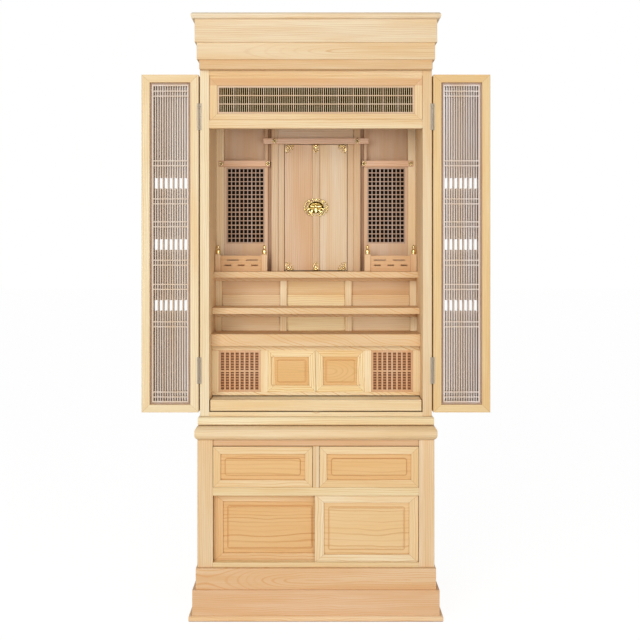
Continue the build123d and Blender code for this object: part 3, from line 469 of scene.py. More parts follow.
# Woods
def rect_between(left, right, bottom, top, stile, rail):
    """A framed board: its centre, half sizes, and the widths of its stile and rail."""
    middle_x, middle_z = (left + right) / 2, (bottom + top) / 2
    return middle_x, middle_z, (right - left) / 2, (top - bottom) / 2, stile, rail


def framed(x, z, rect):
    """How far a point is into a frame, as shares of its stile and its rail."""
    centre_x, centre_z, half_x, half_z, stile, rail = rect
    return (half_x - abs(x - centre_x)) / stile, (half_z - abs(z - centre_z)) / rail


def field_edge_shade(x, z, rect, margin):
    """Where a fine line of painted shade runs round a raised field's edge, with rounded corners."""
    centre_x, centre_z, half_x, half_z, stile, rail = rect
    reach = []
    for place, centre, half in ((x, centre_x, half_x - stile), (z, centre_z, half_z - rail)):
        past = calc("MAXIMUM", abs(place - centre) - (half - margin - FIELD_CORNER), 0.0)
        reach.append(past * past)
    return abs(calc("SQRT", reach[0] + reach[1]) - FIELD_CORNER) < FIELD_EDGE_SHADE_WIDTH / 2


def board_rows(z, joints, flats):
    """The middle of the board at this height, how arched its rings are, and its shift."""
    middle, arched, order = (joints[0] + joints[1]) / 2, flats[0], 0.0
    for lower, joint, upper, below, flat in zip(joints, joints[1:], joints[2:], flats, flats[1:]):
        above = z > joint
        middle = above * ((upper - lower) / 2) + middle
        arched = above * (flat - below) + arched
        order = above * BOARD_SHIFT + order
    return middle, arched, order


def growth_rings(axes, order, arch, figure, pitch, wave, bends, taper, slant):
    """Dark late wood, in straight lines or in arches about the height that arch gives."""
    along, cross, depth = axes
    drift = join_axes(along * (DRIFT_ALONG + WAVE_ALONG * wave), cross * DRIFT_ACROSS, order)
    drift = (noise(drift, 1.0, 2.0) - 0.5) * (DRIFT_REACH + WAVE_REACH * wave)
    quiver = noise(join_axes(along * QUIVER_ALONG, cross * QUIVER_ACROSS, order), 1.0, 1.0)
    drift = drift + (quiver - 0.5) * (QUIVER_REACH * figure)
    level = cross + depth * RING_LEAN + drift + along * slant
    if arch:
        middle, flat = arch
        bend = noise(join_axes(along * bends, order, ARCH_PLACE), 1.0, 1.0)
        if taper is None:
            taper = depth * ARCH_LEAN + ARCH_DEPTH
            bend = bend * ARCH_TURNS
        deep = (bend - 0.5) * ARCH_REACH + taper
        away = cross + drift * ARCH_DRIFT - middle
        level = choose(flat, level, calc("SQRT", away * away + deep * deep))
    ring = spread(calc("SINE", level * (2.0 * math.pi / pitch)), *RING_EDGES)
    strong = noise(join_axes(along * FADE_ALONG, level * FADE_ACROSS, order), 1.0, 2.0)
    return ring * spread(strong, *FADE_RANGE) * (RING_FAINT + RING_FIGURE * figure)


def zone_share(kind, level, x, z):
    """One inside a zone of another tone, and nought outside it; some zones hold painted light and
    shade.
    """
    if kind == "inside":
        return abs(x) < level
    return (z if kind == "above" else x) > level


def wood(
    name, colour, grain="X", figure=0.35, seed=0.0, *, sides=False, zones=(), joints=(), flats=(),
    rect=None, mitred=True, field_tone=FIELD_TONE, field_flat=0.35, line=None, wave=0.0, bends=1.6,
    spacing=1.0, heart=None, boost=1.0, slant=0.0, reach=0.006,
):
    """Planed cypress. grain is the axis it runs along, or wrap for boards that turn a corner.

    figure is how strong the rings are, and boost makes them stronger still.
    sides gives each side of the altar wood of its own.
    zones are other tones, some of them painted light and shade: above a height, inside a half
    width, or right of a place.
    joints are the heights between boards, and flats is 1 for a board whose rings arch.
    rect is a frame round a field, as rect_between gives it, with or without mitres.
    line is how far inside the field a fine dark line of painted shade runs round it.
    wave makes rings wander, bends is how often arches turn, spacing widens the rings.
    heart narrows the arches: from and to where, and how deep they lie there.
    slant lets rings run out at the board's edge, and reach is how far the painted shade in corners
    and gaps spreads."""
    material, tree, shader = new_material(name)
    pitch = bpy.context.scene.altar_sizes.ring_pitch * spacing
    x, y, z = split_axes(object_place(tree))
    across = abs(x) if sides else x
    order, arch, field, mitre = 0.0, None, None, None
    if joints:
        middle, arched, order = board_rows(z, joints, flats or (0.0,) * (len(joints) - 1))
        arch = (middle, arched) if flats else None
    if rect:
        side_share, end_share = framed(across, z, rect)
        field = (side_share > FIELD_START) * (end_share > FIELD_START)
        border = 1.0 - field
        upright = (end_share > side_share) * border
        if mitred:
            mitre = (abs(side_share - end_share) < MITRE_GAP) * border
        along = choose(upright, x, z) + upright * UPRIGHT_SHIFT
        cross, depth = choose(upright, z, x), y
        arch = (rect[1], field * field_flat)
    elif grain == "wrap":
        facing = split_axes(make(tree, "NewGeometry", output="Normal"))[0]
        turned = abs(facing) > 0.7
        along, cross, depth = choose(turned, x, y), z, choose(turned, y, x)
    else:
        along, cross, depth = (z, x, y) if grain == "Z" else (x, z, y)
    if sides:
        along = along + calc("SIGN", x) * SIDE_SHIFT
    axes = (along + seed + order, cross, depth)

    taper = spread(x, *heart) if heart else None
    amount = growth_rings(axes, order, arch, figure, pitch, wave, bends, taper, slant) * boost
    streak = drawn_noise(axes, STREAK_SCALES, 3.0, 0.6)
    fibre = drawn_noise(axes, FIBRE_SCALES, 3.0, 0.6)

    late = shade(colour, *LATE_WOOD)
    tone = blend(spread(streak, 0.3, 0.7), shade(colour, *PALE_STREAK), shade(colour, *DEEP_STREAK))
    for kind, level, tint in zones:
        tone = blend(zone_share(kind, level, x, z), tone, tint, "MULTIPLY")
    if field:
        tone = blend(field * 0.75, tone, shade(colour, *field_tone))
        amount = amount + amount * field * 0.5
    tone = blend(amount, tone, late)
    tone = blend(spread(fibre, 0.42, 0.72, 0.0, 0.22), tone, late)
    if mitre:
        tone = blend(mitre * 0.5, tone, shade(colour, *MITRE_TONE))
    # Painted shade: a dark line along the raised field's edge
    if line:
        tone = blend(field_edge_shade(across, z, rect, line) * 0.5, tone, shade(colour, *FIELD_EDGE_SHADE_TONE))
    # The base colour takes painted shade in corners, gaps and grooves
    feed(shader, {
        "Base Color": painted_hollow_shade(tone, shade(colour, *HOLLOW_SHADE_TONE), reach),
        "Roughness": spread(fibre, 0.2, 0.8, 0.5, 0.64, smooth=False),
        "Specular IOR Level": 0.28,
        "Normal": relief(fibre * 0.5 + amount * 0.5, 0.12, 0.0004),
    })
    return material


# Cloth and metals
def dark_cloth(name, colour):
    """Close-woven dark cloth that lines the back of a lattice."""
    material, tree, shader = new_material(name)
    x, _, z = split_axes(object_place(tree))
    threads = 2.0 * math.pi / 0.0009
    weave = spread(calc("SINE", x * threads) * calc("SINE", z * threads), -1.0, 1.0)
    feed(shader, {
        "Base Color": blend(weave, shade(colour, 0.7, 0.7, 0.7), shade(colour, 1.3, 1.3, 1.3)),
        "Roughness": 0.95,
        "Specular IOR Level": 0.1,
        "Normal": relief(weave, 0.3, 0.0002),
    })
    return material


def gilt(name, colour, reach=0.0022):
    """Bright gilt brass, with brown painted shade in its recesses."""
    material, tree, shader = new_material(name)
    cloud = noise(object_place(tree), 120.0, 3.0)
    fine = noise(object_place(tree), 1400.0, 2.0)
    tone = blend(spread(cloud, 0.35, 0.7), colour, shade(colour, 0.95, 0.86, 0.66))
    # The base colour takes painted shade in the recesses between the fitting's lumps and curls
    feed(shader, {
        "Base Color": painted_hollow_shade(tone, shade(colour, 0.2, 0.17, 0.07), reach),
        "Metallic": 1.0,
        "Roughness": spread(cloud, 0.3, 0.7, 0.12, 0.24),
        "Normal": relief(fine, 0.15, 0.0002),
    })
    return material


def satin_metal(name, colour):
    """Brushed metal, with its brush marks upright."""
    material, tree, shader = new_material(name)
    inputs = {"Vector": object_place(tree), "Scale": (900.0, 900.0, 30.0)}
    brushed = noise(make(tree, "Mapping", inputs), 1.0, 3.0)
    feed(shader, {
        "Base Color": blend(
            brushed, shade(colour, 0.85, 0.85, 0.85), shade(colour, 1.15, 1.15, 1.12)
        ),
        "Metallic": 1.0,
        "Roughness": spread(brushed, 0.2, 0.8, 0.44, 0.6),
    })
    return material


# Mesh helpers
def add_bar(mesh, spans, chamfer):
    """A straight bar with softened edges, from its ends along x, y and z."""
    verts = bmesh.ops.create_cube(mesh, size=1.0)["verts"]
    for vert in verts:
        places = [(low + high) / 2 + at * (high - low) for at, (low, high) in zip(vert.co, spans)]
        vert.co = Vector(places)
    edges = list(dict.fromkeys(edge for vert in verts for edge in vert.link_edges))
    bmesh.ops.bevel(mesh, geom=edges, offset=chamfer, segments=1, affect="EDGES")


def place_piece(name, mesh, body, material, smooth=False):
    """Turns a working mesh into a piece that rides on one of the altar's bodies."""
    bmesh.ops.recalc_face_normals(mesh, faces=mesh.faces)
    data = bpy.data.meshes.new(name)
    mesh.to_mesh(data)
    mesh.free()
    for face in data.polygons:
        face.use_smooth = smooth
    piece = bpy.data.objects.new(name, data)
    bpy.context.scene.collection.objects.link(piece)
    piece.data.materials.append(material)
    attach(piece, body)
    return piece


def fitting(name, mesh, brass, body):
    return place_piece(name, mesh, body, brass, smooth=True)


def bars_piece(name, bars, wood_name, chamfer=None):
    """One fixed piece of the case, made of straight bars."""
    mesh = bmesh.new()
    for spans in bars:
        add_bar(mesh, spans, chamfer or bpy.context.scene.altar_sizes.chamfer)
    place_piece(name, mesh, CASE, bpy.data.materials[wood_name])


def ring_of(mesh, steps, place_at):
    """A ring of corners, placed by the angle round it."""
    return [mesh.verts.new(place_at(2.0 * math.pi * step / steps)) for step in range(steps)]


def stitch(mesh, first, second):
    """Faces between two rings of as many corners."""
    for place, corner in enumerate(first):
        after = (place + 1) % len(first)
        mesh.faces.new((corner, first[after], second[after], second[place]))


def close_ring(mesh, ring, tip):
    """Faces from a ring to one corner."""
    for place, corner in enumerate(ring):
        mesh.faces.new((corner, ring[(place + 1) % len(ring)], tip))


def add_bump(mesh, place, length, width, thick, turn=0.0, point=0.0, rings=2, steps=12):
    """A low rounded lump on an upright face, pointed at one end if asked, such as a petal."""
    x, y, z = place
    circles = []
    for ring in range(rings + 1):
        share = 1.0 - ring / (rings + 1)
        rise = thick * math.sqrt(1.0 - share * share)

        def place_at(angle):
            taper = 1.0 - point * max(0.0, math.cos(angle)) ** 2
            along = length / 2 * share * math.cos(angle)
            across = width / 2 * share * math.sin(angle) * taper
            return (
                x + along * math.cos(turn) - across * math.sin(turn),
                y - rise,
                z + along * math.sin(turn) + across * math.cos(turn),
            )

        circles.append(ring_of(mesh, steps, place_at))
    mesh.faces.new(circles[0])
    for outer, inner in zip(circles, circles[1:]):
        stitch(mesh, outer, inner)
    close_ring(mesh, circles[-1], mesh.verts.new((x, y - thick, z)))


def add_scroll(
    mesh, place, radius, start, turn, width, thick, shrink=0.6, steps=12, squash=1.0
):
    """A curled stem on an upright face that tapers as its curl tightens."""
    x, y, z = place
    rows = []
    for step in range(steps + 1):
        share = step / steps
        angle = start + turn * share
        reach = radius * (1.0 - shrink * share)
        half = width / 2 * (1.0 - 0.8 * shrink * share)
        row = []
        for side, rise in ((-1.0, 0.0), (-0.6, 0.8), (0.0, 1.0), (0.6, 0.8), (1.0, 0.0)):
            span = reach + side * half
            up = squash * span * math.sin(angle)
            row.append(mesh.verts.new((x + span * math.cos(angle), y - thick * rise, z + up)))
        rows.append(row)
    for first, second in zip(rows, rows[1:]):
        stitch(mesh, first, second)
    mesh.faces.new(rows[0])
    mesh.faces.new(rows[-1])


def add_turned(mesh, place, profile, steps=20):
    """A turned shape about an upright axis, from (radius, height) pairs from axis to axis."""
    x, y, z = place
    rings = [
        ring_of(
            mesh, steps,
            lambda angle: (x + radius * math.cos(angle), y + radius * math.sin(angle), z + height),
        )
        for radius, height in profile[1:-1]
    ]
    for lower, upper in zip(rings, rings[1:]):
        stitch(mesh, lower, upper)
    for ring, (_, height) in ((rings[0], profile[0]), (rings[-1], profile[-1])):
        close_ring(mesh, ring, mesh.verts.new((x, y, z + height)))


def either_side(side, inner, outer):
    """The left and right ends of what lies between two distances from the middle."""
    return sorted((side * inner, side * outer))


def coat(node, material):
    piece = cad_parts[node]
    piece.data.materials.clear()
    piece.data.materials.append(material)


def ease(node, width):
    """Takes the sharp edges off a board."""
    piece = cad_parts[node]
    weld = piece.modifiers.new("joined_corners", "WELD")
    weld.merge_threshold = 0.00001
    bevel = piece.modifiers.new("eased_edges", "BEVEL")
    bevel.width = width
    bevel.segments = 1
    bevel.limit_method = "ANGLE"
    bevel.angle_limit = math.radians(40.0)


# Operators
class ALTAR_OT_woods(bpy.types.Operator):
    """Gives every board of the altar its cypress, with the grain along the board"""

    bl_idname = "altar.woods"
    bl_label = "Cypress boards"

    def execute(self, context):
        woods = context.scene.altar_woods
        case = tuple(woods.case)
        for nodes, name, kind, tint, grain, figure, seed, more in BOARDS:
            colour = shade(getattr(woods, kind), *tint)
            material = wood(name, colour, grain, figure, seed, **more)
            for node in nodes.split():
                coat(node, material)
        dark_cloth("dark_cloth", tuple(woods.cloth))
        self.railings(tuple(woods.inner))
        self.folding_doors(case)
        self.drawers_and_doors(case)
        self.niche_panels(case)
        self.transom(case)
        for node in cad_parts:
            if not any(word in node for word in SHARP_WORDS):
                ease(node, context.scene.altar_sizes.eased_edge)
        return {"FINISHED"}

    def railings(self, inner):
        low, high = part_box("wing_railings")
        rect = rect_between(WING_START, high.x, low.z, high.z, high.y - low.y, RAILING_RAIL)
        coat("wing_railings", wood(
            "railing_board", shade(inner, 1.08, 1.14, 1.12), figure=0.4, seed=7.7, rect=rect,
            sides=True, mitred=False, field_tone=(0.86, 0.74, 0.62),
        ))

    def folding_doors(self, case):
        low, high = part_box("folding_door_frames")
        slot_low, slot_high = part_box("right_door_lattices")
        stile = high.x - slot_high.x
        rect = rect_between(
            slot_low.x - stile, high.x, low.z, high.z, stile, high.z - slot_high.z
        )
        coat("folding_door_frames", wood(
            "folding_frame_wood", shade(case, 0.98, 1.0, 0.98), figure=0.3, seed=12.2, rect=rect,
            sides=True, zones=(("right", 0.0, (0.95, 0.84, 0.67)),),
        ))

    def drawers_and_doors(self, case):
        for node, tint, stile, rail, seed, field_tone in FRAMED:
            low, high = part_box(node)
            coat(node, wood(
                node + "_wood", shade(case, *tint), figure=0.5, seed=seed, field_tone=field_tone,
                rect=rect_between(low.x, high.x, low.z, high.z, stile, rail), bends=3.0,
                spacing=1.25, line=FIELD_MARGIN,
            ))

    def niche_panels(self, case):
        low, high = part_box("niche_panels")
        coat("niche_panels", wood(
            "niche_panel_wood", shade(case, 1.06, 1.12, 1.04), figure=0.6, seed=17.6,
            rect=rect_between(0.0, high.x, low.z, high.z, 0.02, 0.019), sides=True,
            field_tone=(0.82, 0.54, 0.32), field_flat=1.0, bends=9.0, spacing=0.95, boost=3.0,
            line=NICHE_MARGIN, heart=(0.03, 0.12, 0.006, 0.036),
            zones=(("above", NICHE_RAIL_FOOT, (0.98, 0.92, 0.88)),),
        ))

    def transom(self, case):
        low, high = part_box("transom_lattice")
        rail = TRANSOM_FACE_TOP - high.z
        end = high.x + rail
        coat("transom_frame", wood(
            "transom_frame_wood", shade(case, 0.95, 0.91, 0.83), figure=0.4, seed=20.4,
            rect=rect_between(-end, end, low.z - rail, high.z + rail, rail, rail),
            # Above the lattice the frame is darker, painted shadow under the head rail; above
            # TRANSOM_FACE_TOP the head rail is paler, painted light
            zones=(
                ("above", high.z, (0.89, 0.77, 0.73)),
                ("above", TRANSOM_FACE_TOP, (1.11, 1.28, 1.36)),
            ),
        ))


class ALTAR_OT_lattices(bpy.types.Operator):
    """Adds the finer bars between the main bars of the doors, transom, wings and lower lattices"""

    bl_idname = "altar.lattices"
    bl_label = "Fine lattice bars"

    def execute(self, context):
        sizes = context.scene.altar_sizes
        self.doors(sizes)
        self.transom(sizes)
        self.wings(sizes)
        self.niches(sizes)
        return {"FINISHED"}

    def doors(self, sizes):
        recess = sizes.bar_recess
        for node in ("left_door_lattices", "right_door_lattices"):
            low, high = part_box(node)
            pitch = (high.x - low.x - 2 * DOOR_BORDER + sizes.door_bar) / DOOR_CELLS
            ends = [low.z + DOOR_BORDER]
            for middle in DOOR_WINDOWS:
                ends.extend([middle - sizes.window / 2, middle + sizes.window / 2])
            ends.append(high.z - DOOR_BORDER)
            for order, front in (("front", low.y), ("rear", high.y - DOOR_LATTICE)):
                bars = []
                for place in range(1, DOOR_CELLS, 2):
                    left = low.x + DOOR_BORDER + place * pitch - sizes.door_bar
                    across = (left, left + sizes.door_bar)
                    deep = (front + recess, front + DOOR_LATTICE - recess)
                    bars.extend((across, deep, piece) for piece in zip(ends[::2], ends[1::2]))
                name = f"{node.split('_')[0]}_door_fine_bars_{order}"
                bars_piece(name, bars, node + "_wood")

    def transom(self, sizes):
        low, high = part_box("transom_lattice")
        pitch = (high.x - low.x - 2 * TRANSOM_BORDER + sizes.transom_bar) / TRANSOM_CELLS
        half = sizes.transom_fine / 2
        deep = (low.y + sizes.bar_recess, high.y - sizes.bar_recess)
        upright = (low.z + TRANSOM_BORDER, high.z - TRANSOM_BORDER)
        bars = []
        for place in range(1, TRANSOM_CELLS):
            if place % TRANSOM_MAIN:
                middle = low.x + TRANSOM_BORDER + place * pitch - sizes.transom_bar / 2
                bars.append(((middle - half, middle + half), deep, upright))
        bars_piece("transom_fine_bars", bars, "case_level")
        self.backing("transom_lining", (low.x, high.x), low, high)

    def backing(self, name, across, low, high, thick=CLOTH_THICK, kind="dark_cloth", edge=0.0002):
        """A stretched dark cloth, or a board, just behind a lattice."""
        front = high.y + BACKING_GAP
        board = (across, (front, front + thick), (low.z, high.z))
        bars_piece(name, [board], kind, chamfer=edge)

    def wings(self, sizes):
        low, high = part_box("wing_lattices")
        bar = sizes.wing_bar
        inner = high.x - WING_WIDE
        wide = (WING_WIDE - 2 * WING_BORDER + bar) / WING_COLUMNS
        tall = (high.z - low.z - 2 * WING_BORDER + bar) / WING_ROWS
        for side, name in ((-1.0, "left_wing_"), (1.0, "right_wing_")):
            bars = []
            for place in range(1, WING_COLUMNS):
                if place % WING_MAIN:
                    start = inner + WING_BORDER + place * wide - bar
                    across = either_side(side, start, start + bar)
                    deep = (low.y + sizes.bar_recess, high.y - sizes.bar_recess)
                    bars.append((across, deep, (low.z + WING_BORDER, high.z - WING_BORDER)))
            for place in range(1, WING_ROWS):
                if place not in WING_MAIN_ROWS:
                    foot = low.z + WING_BORDER + place * tall - bar
                    across = either_side(side, inner + WING_BORDER, high.x - WING_BORDER)
                    deep = (low.y + 2 * sizes.bar_recess, high.y - 2 * sizes.bar_recess)
                    bars.append((across, deep, (foot, foot + bar)))
            bars_piece(name + "fine_bars", bars, "wing_lattice_wood")
            self.backing(name + "lining", either_side(side, inner, high.x), low, high)

    def niches(self, sizes):
        low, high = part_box("niche_lattices")
        half = sizes.niche_bar / 2
        inner = high.x - NICHE_WIDE
        tall = (high.z - low.z - 2 * NICHE_BORDER) / NICHE_ROWS
        deep = (low.y + NICHE_BAR_SETBACK, high.y - sizes.bar_recess)
        for side, name in ((-1.0, "left_niche_"), (1.0, "right_niche_")):
            across = either_side(side, inner + NICHE_BORDER, high.x - NICHE_BORDER)
            bars = []
            for place in range(1, NICHE_ROWS):
                if place * 2 != NICHE_ROWS:
                    middle = low.z + NICHE_BORDER + place * tall
                    bars.append((across, deep, (middle - half, middle + half)))
            bars_piece(name + "cross_bars", bars, "niche_cross_wood")
            across = either_side(side, inner, high.x)
            wood_name = "niche_backing_wood"
            self.backing(name + "backing_board", across, low, high, BACKING_THICK, wood_name, None)


class ALTAR_OT_brass(bpy.types.Operator):
    """Gilds the caps, studs, corner plates and lock plate, and coats the hinges"""

    bl_idname = "altar.brass"
    bl_label = "Gilt fittings"

    def execute(self, context):
        colour = tuple(context.scene.altar_woods.brass)
        brass = gilt("gilt_brass", colour)
        for node in (
            "stud_covers", "railing_caps", "shrine_fittings_left", "shrine_fittings_right",
        ):
            coat(node, brass)
        self.caps(brass)
        self.studs(gilt("stud_brass", shade(colour, 1.08, 1.18, 1.5), 0.0009))
        self.corners(brass)
        self.batten_ends(brass)
        # A dark gilt ground under the lock's curls: painted shade between them
        self.lock_ground(gilt("aged_brass", shade(colour, 0.34, 0.28, 0.15)))
        self.lock(gilt("lock_brass", shade(colour, 1.0, 1.02, 0.92), 0.0045))
        self.hinges(satin_metal("hinge_metal", tuple(context.scene.altar_woods.hinge)))
        return {"FINISHED"}

    def caps(self, brass):
        low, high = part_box("railing_caps")
        radius = (high.y - low.y) / 2
        rail_low, rail_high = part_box("wing_railings")
        mesh = bmesh.new()
        profile = [(radius * wide, (high.z - low.z) * share) for wide, share in CAP_PROFILE]
        for side in (-1.0, 1.0):
            for x in (high.x - radius, WING_START + (rail_high.y - rail_low.y) / 2):
                add_turned(mesh, (side * x, (low.y + high.y) / 2, low.z), profile)
        piece = fitting("onion_caps", mesh, brass, CASE)
        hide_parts("railing_caps")

    def studs(self, brass):
        mesh = bmesh.new()
        for x, y, z in STUD_PLACES:
            for middle in (-x, x):
                for petal in range(STUD_PETALS):
                    angle = 2.0 * math.pi * (petal + 0.5) / STUD_PETALS
                    spot = (
                        middle + PETAL_REACH * math.cos(angle),
                        y,
                        z + PETAL_REACH * math.sin(angle),
                    )
                    add_bump(mesh, spot, *PETAL_SIZE, angle, rings=3)
                add_bump(mesh, (middle, y, z), *BOSS_SIZE, rings=4, steps=16)
        piece = fitting("six_petal_studs", mesh, brass, CASE)
        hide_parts("stud_covers")

    def corner(self, mesh, edge, end, y, way, rise):
        """Pierced foliage in a door's corner, reaching inwards by way and up or down by rise."""
        size = CORNER_SIZE
        thick = CORNER_THICK

        def spot(across, up):
            return (edge + way * across * size, y, end + rise * up * size)

        def heading(angle):
            return math.atan2(rise * math.sin(angle), way * math.cos(angle))

        for across, up, angle in ((0.46, 0.05, 0.0), (0.05, 0.46, 0.5)):
            turn = heading(angle * math.pi)
            add_bump(mesh, spot(across, up), size * 0.92, size * 0.09, thick, turn)
        for across, up, length, width, angle in CORNER_LEAVES:
            for *place, share in sorted({(across, up, angle), (up, across, 0.5 - angle)}):
                turn = heading(share * math.pi)
                add_bump(mesh, spot(*place), size * length, size * width, thick * 1.5, turn, 0.7)
        for across, up, radius, start, sweep in CORNER_CURLS:
            turned = way * rise * sweep
            add_scroll(
                mesh, spot(across, up), size * radius, heading(start), turned, size * 0.07,
                thick * 1.3,
            )

    def corners(self, brass):
        for hand, side, ground in (
            ("left", -1.0, "shrine_fittings_left"), ("right", 1.0, "door_batten"),
        ):
            low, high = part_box("shrine_fittings_" + hand)
            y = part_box(ground)[1].y
            edge = low.x if side < 0 else high.x
            mesh = bmesh.new()
            self.corner(mesh, edge, low.z, y, -side, 1.0)
            self.corner(mesh, edge, high.z, y, -side, -1.0)
            piece = fitting("corner_foliage_" + hand, mesh, brass, "shrine_door_" + hand)
            if side < 0:
                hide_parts("shrine_fittings_left")

    def batten_ends(self, brass):
        low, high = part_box("door_batten")
        width = high.x - low.x
        mesh = bmesh.new()
        for end, rise in ((low.z, 1.0), (high.z, -1.0)):
            for across, up, length, wide, angle in BATTEN_LEAVES:
                for x, share in sorted({(across, angle), (-across, 1.0 - angle)}):
                    spot = (x * width, low.y, end + rise * up * width)
                    turn = rise * share * math.pi
                    add_bump(mesh, spot, length * width, wide * width, BATTEN_THICK, turn, 0.6)
            for side in (-1.0, 1.0):
                spot = (side * 0.27 * width, low.y, end + rise * 0.86 * width)
                add_scroll(
                    mesh, spot, 0.15 * width, 0.5 * math.pi, -side * CURL_SWEEP, 0.08 * width,
                    BATTEN_CURL_THICK,
                )
        fitting("batten_foliage", mesh, brass, "shrine_door_right")

    def lock_spot(self, across, up):
        """A place on the lock plate, from its middle in halves of its width and height."""
        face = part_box("door_batten")[0].y
        return (across * LOCK_WIDE / 2, face, LOCK_MIDDLE + up * LOCK_HIGH / 2)

    # The dark ground stands in for the shade in the lock's recesses
    def lock_ground(self, brass):
        mesh = bmesh.new()
        wide, high = LOCK_WIDE * LOCK_GROUND_SHARE, LOCK_HIGH * LOCK_GROUND_SHARE
        spot = self.lock_spot(0.0, LOCK_GROUND_RISE)
        add_bump(mesh, spot, wide, high, LOCK_GROUND_THICK, steps=32)
        fitting("lock_ground", mesh, brass, "shrine_door_right")

    def lock(self, brass):
        mesh = bmesh.new()
        size = LOCK_HIGH
        for share, thick in LOCK_RIMS:
            add_scroll(
                mesh, self.lock_spot(0.0, 0.0), LOCK_WIDE / 2 * share, 0.0, 2.0 * math.pi,
                0.035 * size, thick, 0.0, 48, LOCK_HIGH / LOCK_WIDE,
            )
        for side in (-1.0, 1.0):
            for angle, radius, sweep in LOCK_CURLS:
                turn = math.radians(angle if side > 0 else 180.0 - angle)
                across, up = LOCK_CURL_RING * math.cos(turn), LOCK_CURL_RING * math.sin(turn)
                spot = self.lock_spot(across, up)
                stem = (0.055 * size, LOCK_CURL_THICK, 0.7, 14)
                add_scroll(mesh, spot, radius * size, turn, side * sweep, *stem)
            for across, up, length, width, angle in LOCK_LEAVES:
                turn = math.radians(angle if side > 0 else 180.0 - angle)
                spot = self.lock_spot(side * across, up)
                leaf = (length * size, width * size, LOCK_LEAF_THICK, turn, 0.55, 3, 14)
                add_bump(mesh, spot, *leaf)
        for across, up, length, width, *more in LOCK_LUMPS:
            add_bump(mesh, self.lock_spot(across, up), length * size, width * size, *more)
        piece = fitting("lock_foliage", mesh, brass, "shrine_door_right")
        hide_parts("shrine_fittings_right")

    def hinges(self, metal):
        coat("door_hinges", metal)
        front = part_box("folding_door_frames")[0].y
        mesh = bmesh.new()
        for x in (-HINGE_PLACE, HINGE_PLACE):
            for middle in HINGE_MIDDLES:
                self.hinge(mesh, x, front, middle - HINGE_HIGH / 2)
        place_piece("hinge_barrels", mesh, CASE, metal)

    def hinge(self, mesh, x, front, foot):
        """Two leaves let onto the edges, a barrel of knuckles between them, and their screws."""
        for side in (-1.0, 1.0):
            across = [x + place for place in either_side(side, *HINGE_LEAF)]
            leaf = (across, (front - HINGE_LEAF_THICK, front), (foot, foot + HINGE_HIGH))
            add_bar(mesh, leaf, HINGE_EDGE)
            for share in SCREW_SHARES:
                spot = (x + side * SCREW_PLACE, front - SCREW_SETBACK, foot + HINGE_HIGH * share)
                add_bump(mesh, spot, *SCREW_SIZE, rings=1, steps=10)
        tall = HINGE_HIGH / HINGE_KNUCKLES
        high = tall - 2 * KNUCKLE_GAP
        top = tuple((radius, high - rise) for radius, rise in reversed(KNUCKLE_RADII))
        for order in range(HINGE_KNUCKLES):
            place = (x, front - KNUCKLE_RADII[-1][0], foot + order * tall + KNUCKLE_GAP)
            add_turned(mesh, place, KNUCKLE_RADII + top, 12)


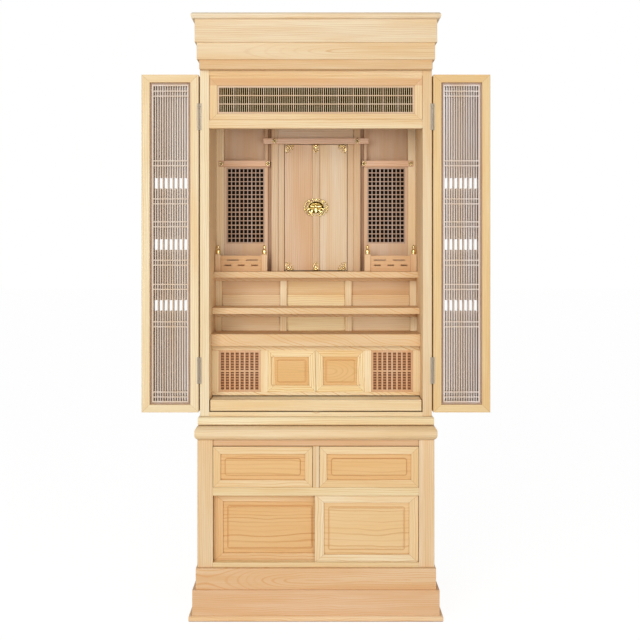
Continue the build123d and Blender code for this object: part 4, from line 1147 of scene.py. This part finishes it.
class ALTAR_OT_stage(bpy.types.Operator):
    """Sets the white ground, the soft lights and the camera"""

    bl_idname = "altar.stage"
    bl_label = "Stage"

    def execute(self, context):
        self.ground(context.scene)
        self.world(context.scene)
        self.lights(context.scene)
        self.camera(context.scene)
        return {"FINISHED"}

    def ground(self, scene):
        mesh = bmesh.new()
        bmesh.ops.create_grid(mesh, x_segments=1, y_segments=1, size=GROUND_HALF)
        data = bpy.data.meshes.new("ground")
        mesh.to_mesh(data)
        mesh.free()
        floor = bpy.data.objects.new("ground", data)
        scene.collection.objects.link(floor)
        material, tree, shader = new_material("white_ground")
        feed(shader, {"Base Color": (0.9, 0.9, 0.9), "Roughness": 0.9})
        glow = make(tree, "Emission", {"Strength": GROUND_GLOW})
        seen = make(tree, "LightPath", output="Is Camera Ray") * GROUND_GLOW_SHARE
        surface = Value(tree, shader.outputs[0])
        mixed = make(tree, "MixShader", {0: seen, 1: surface, 2: glow})
        feed(tree.nodes["Material Output"], {"Surface": mixed})
        data.materials.append(material)

    def world(self, scene):
        """White where the camera or a shiny fitting sees it, and a soft light elsewhere."""
        world = bpy.data.worlds.new("white_world")
        scene.world = world
        world.use_nodes = True
        tree = world.node_tree
        tree.nodes.clear()
        white = (1.0, 1.0, 1.0)
        bright = make(tree, "Background", {"Color": white, "Strength": 1.0})
        soft = make(tree, "Background", {"Color": white, "Strength": WORLD_LIGHT})
        rays = tree.nodes.new("ShaderNodeLightPath").outputs
        direct = Value(tree, rays["Is Camera Ray"])
        for kind in ("Is Transmission Ray", "Is Glossy Ray"):
            direct = calc("MAXIMUM", direct, Value(tree, rays[kind]))
        mixed = make(tree, "MixShader", {0: direct, 1: soft, 2: bright})
        feed(tree.nodes.new("ShaderNodeOutputWorld"), {"Surface": mixed})

    def lights(self, scene):
        for name, place, size, power, tint in LAMPS:
            data = bpy.data.lights.new(name, "AREA")
            data.shape = "SQUARE"
            data.size = size
            data.energy = power
            data.color = tint
            lamp = bpy.data.objects.new(name, data)
            lamp.location = place
            towards = Vector(LAMP_TARGET) - Vector(place)
            lamp.rotation_euler = towards.to_track_quat("-Z", "Y").to_euler()
            scene.collection.objects.link(lamp)

    def camera(self, scene):
        data = bpy.data.cameras.new("front_camera")
        data.lens = CAMERA_LENS
        data.sensor_width = CAMERA_SENSOR
        data.shift_x, data.shift_y = CAMERA_SHIFT
        data.clip_end = CAMERA_REACH
        view = bpy.data.objects.new("front_camera", data)
        view.location = CAMERA_PLACE
        view.rotation_euler = (math.radians(90.0), 0.0, 0.0)
        scene.collection.objects.link(view)
        scene.camera = view
        scene.view_settings.view_transform = "Standard"


class ALTAR_PT_panel(bpy.types.Panel):
    """Shows the altar's colours, sizes and operators"""

    bl_label = "Altar"
    bl_idname = "ALTAR_PT_panel"
    bl_space_type = "VIEW_3D"
    bl_region_type = "UI"
    bl_category = "Altar"

    def draw(self, context):
        layout = self.layout
        for group in (context.scene.altar_woods, context.scene.altar_sizes):
            for key in group.__annotations__:
                layout.prop(group, key)
        for operator in OPERATORS:
            layout.operator(operator.bl_idname)


OPERATORS = (
    ALTAR_OT_woods,
    ALTAR_OT_lattices,
    ALTAR_OT_brass,
    ALTAR_OT_stage,
)
CLASSES = (AltarWoods, AltarSizes, *OPERATORS, ALTAR_PT_panel)


def register():
    for item in CLASSES:
        bpy.utils.register_class(item)
    bpy.types.Scene.altar_woods = bpy.props.PointerProperty(type=AltarWoods)
    bpy.types.Scene.altar_sizes = bpy.props.PointerProperty(type=AltarSizes)


def unregister():
    del bpy.types.Scene.altar_sizes
    del bpy.types.Scene.altar_woods
    for item in reversed(CLASSES):
        bpy.utils.unregister_class(item)


def main():
    register()
    bpy.ops.altar.woods()
    bpy.ops.altar.lattices()
    bpy.ops.altar.brass()
    bpy.ops.altar.stage()


if __name__ == "__main__":
    main()
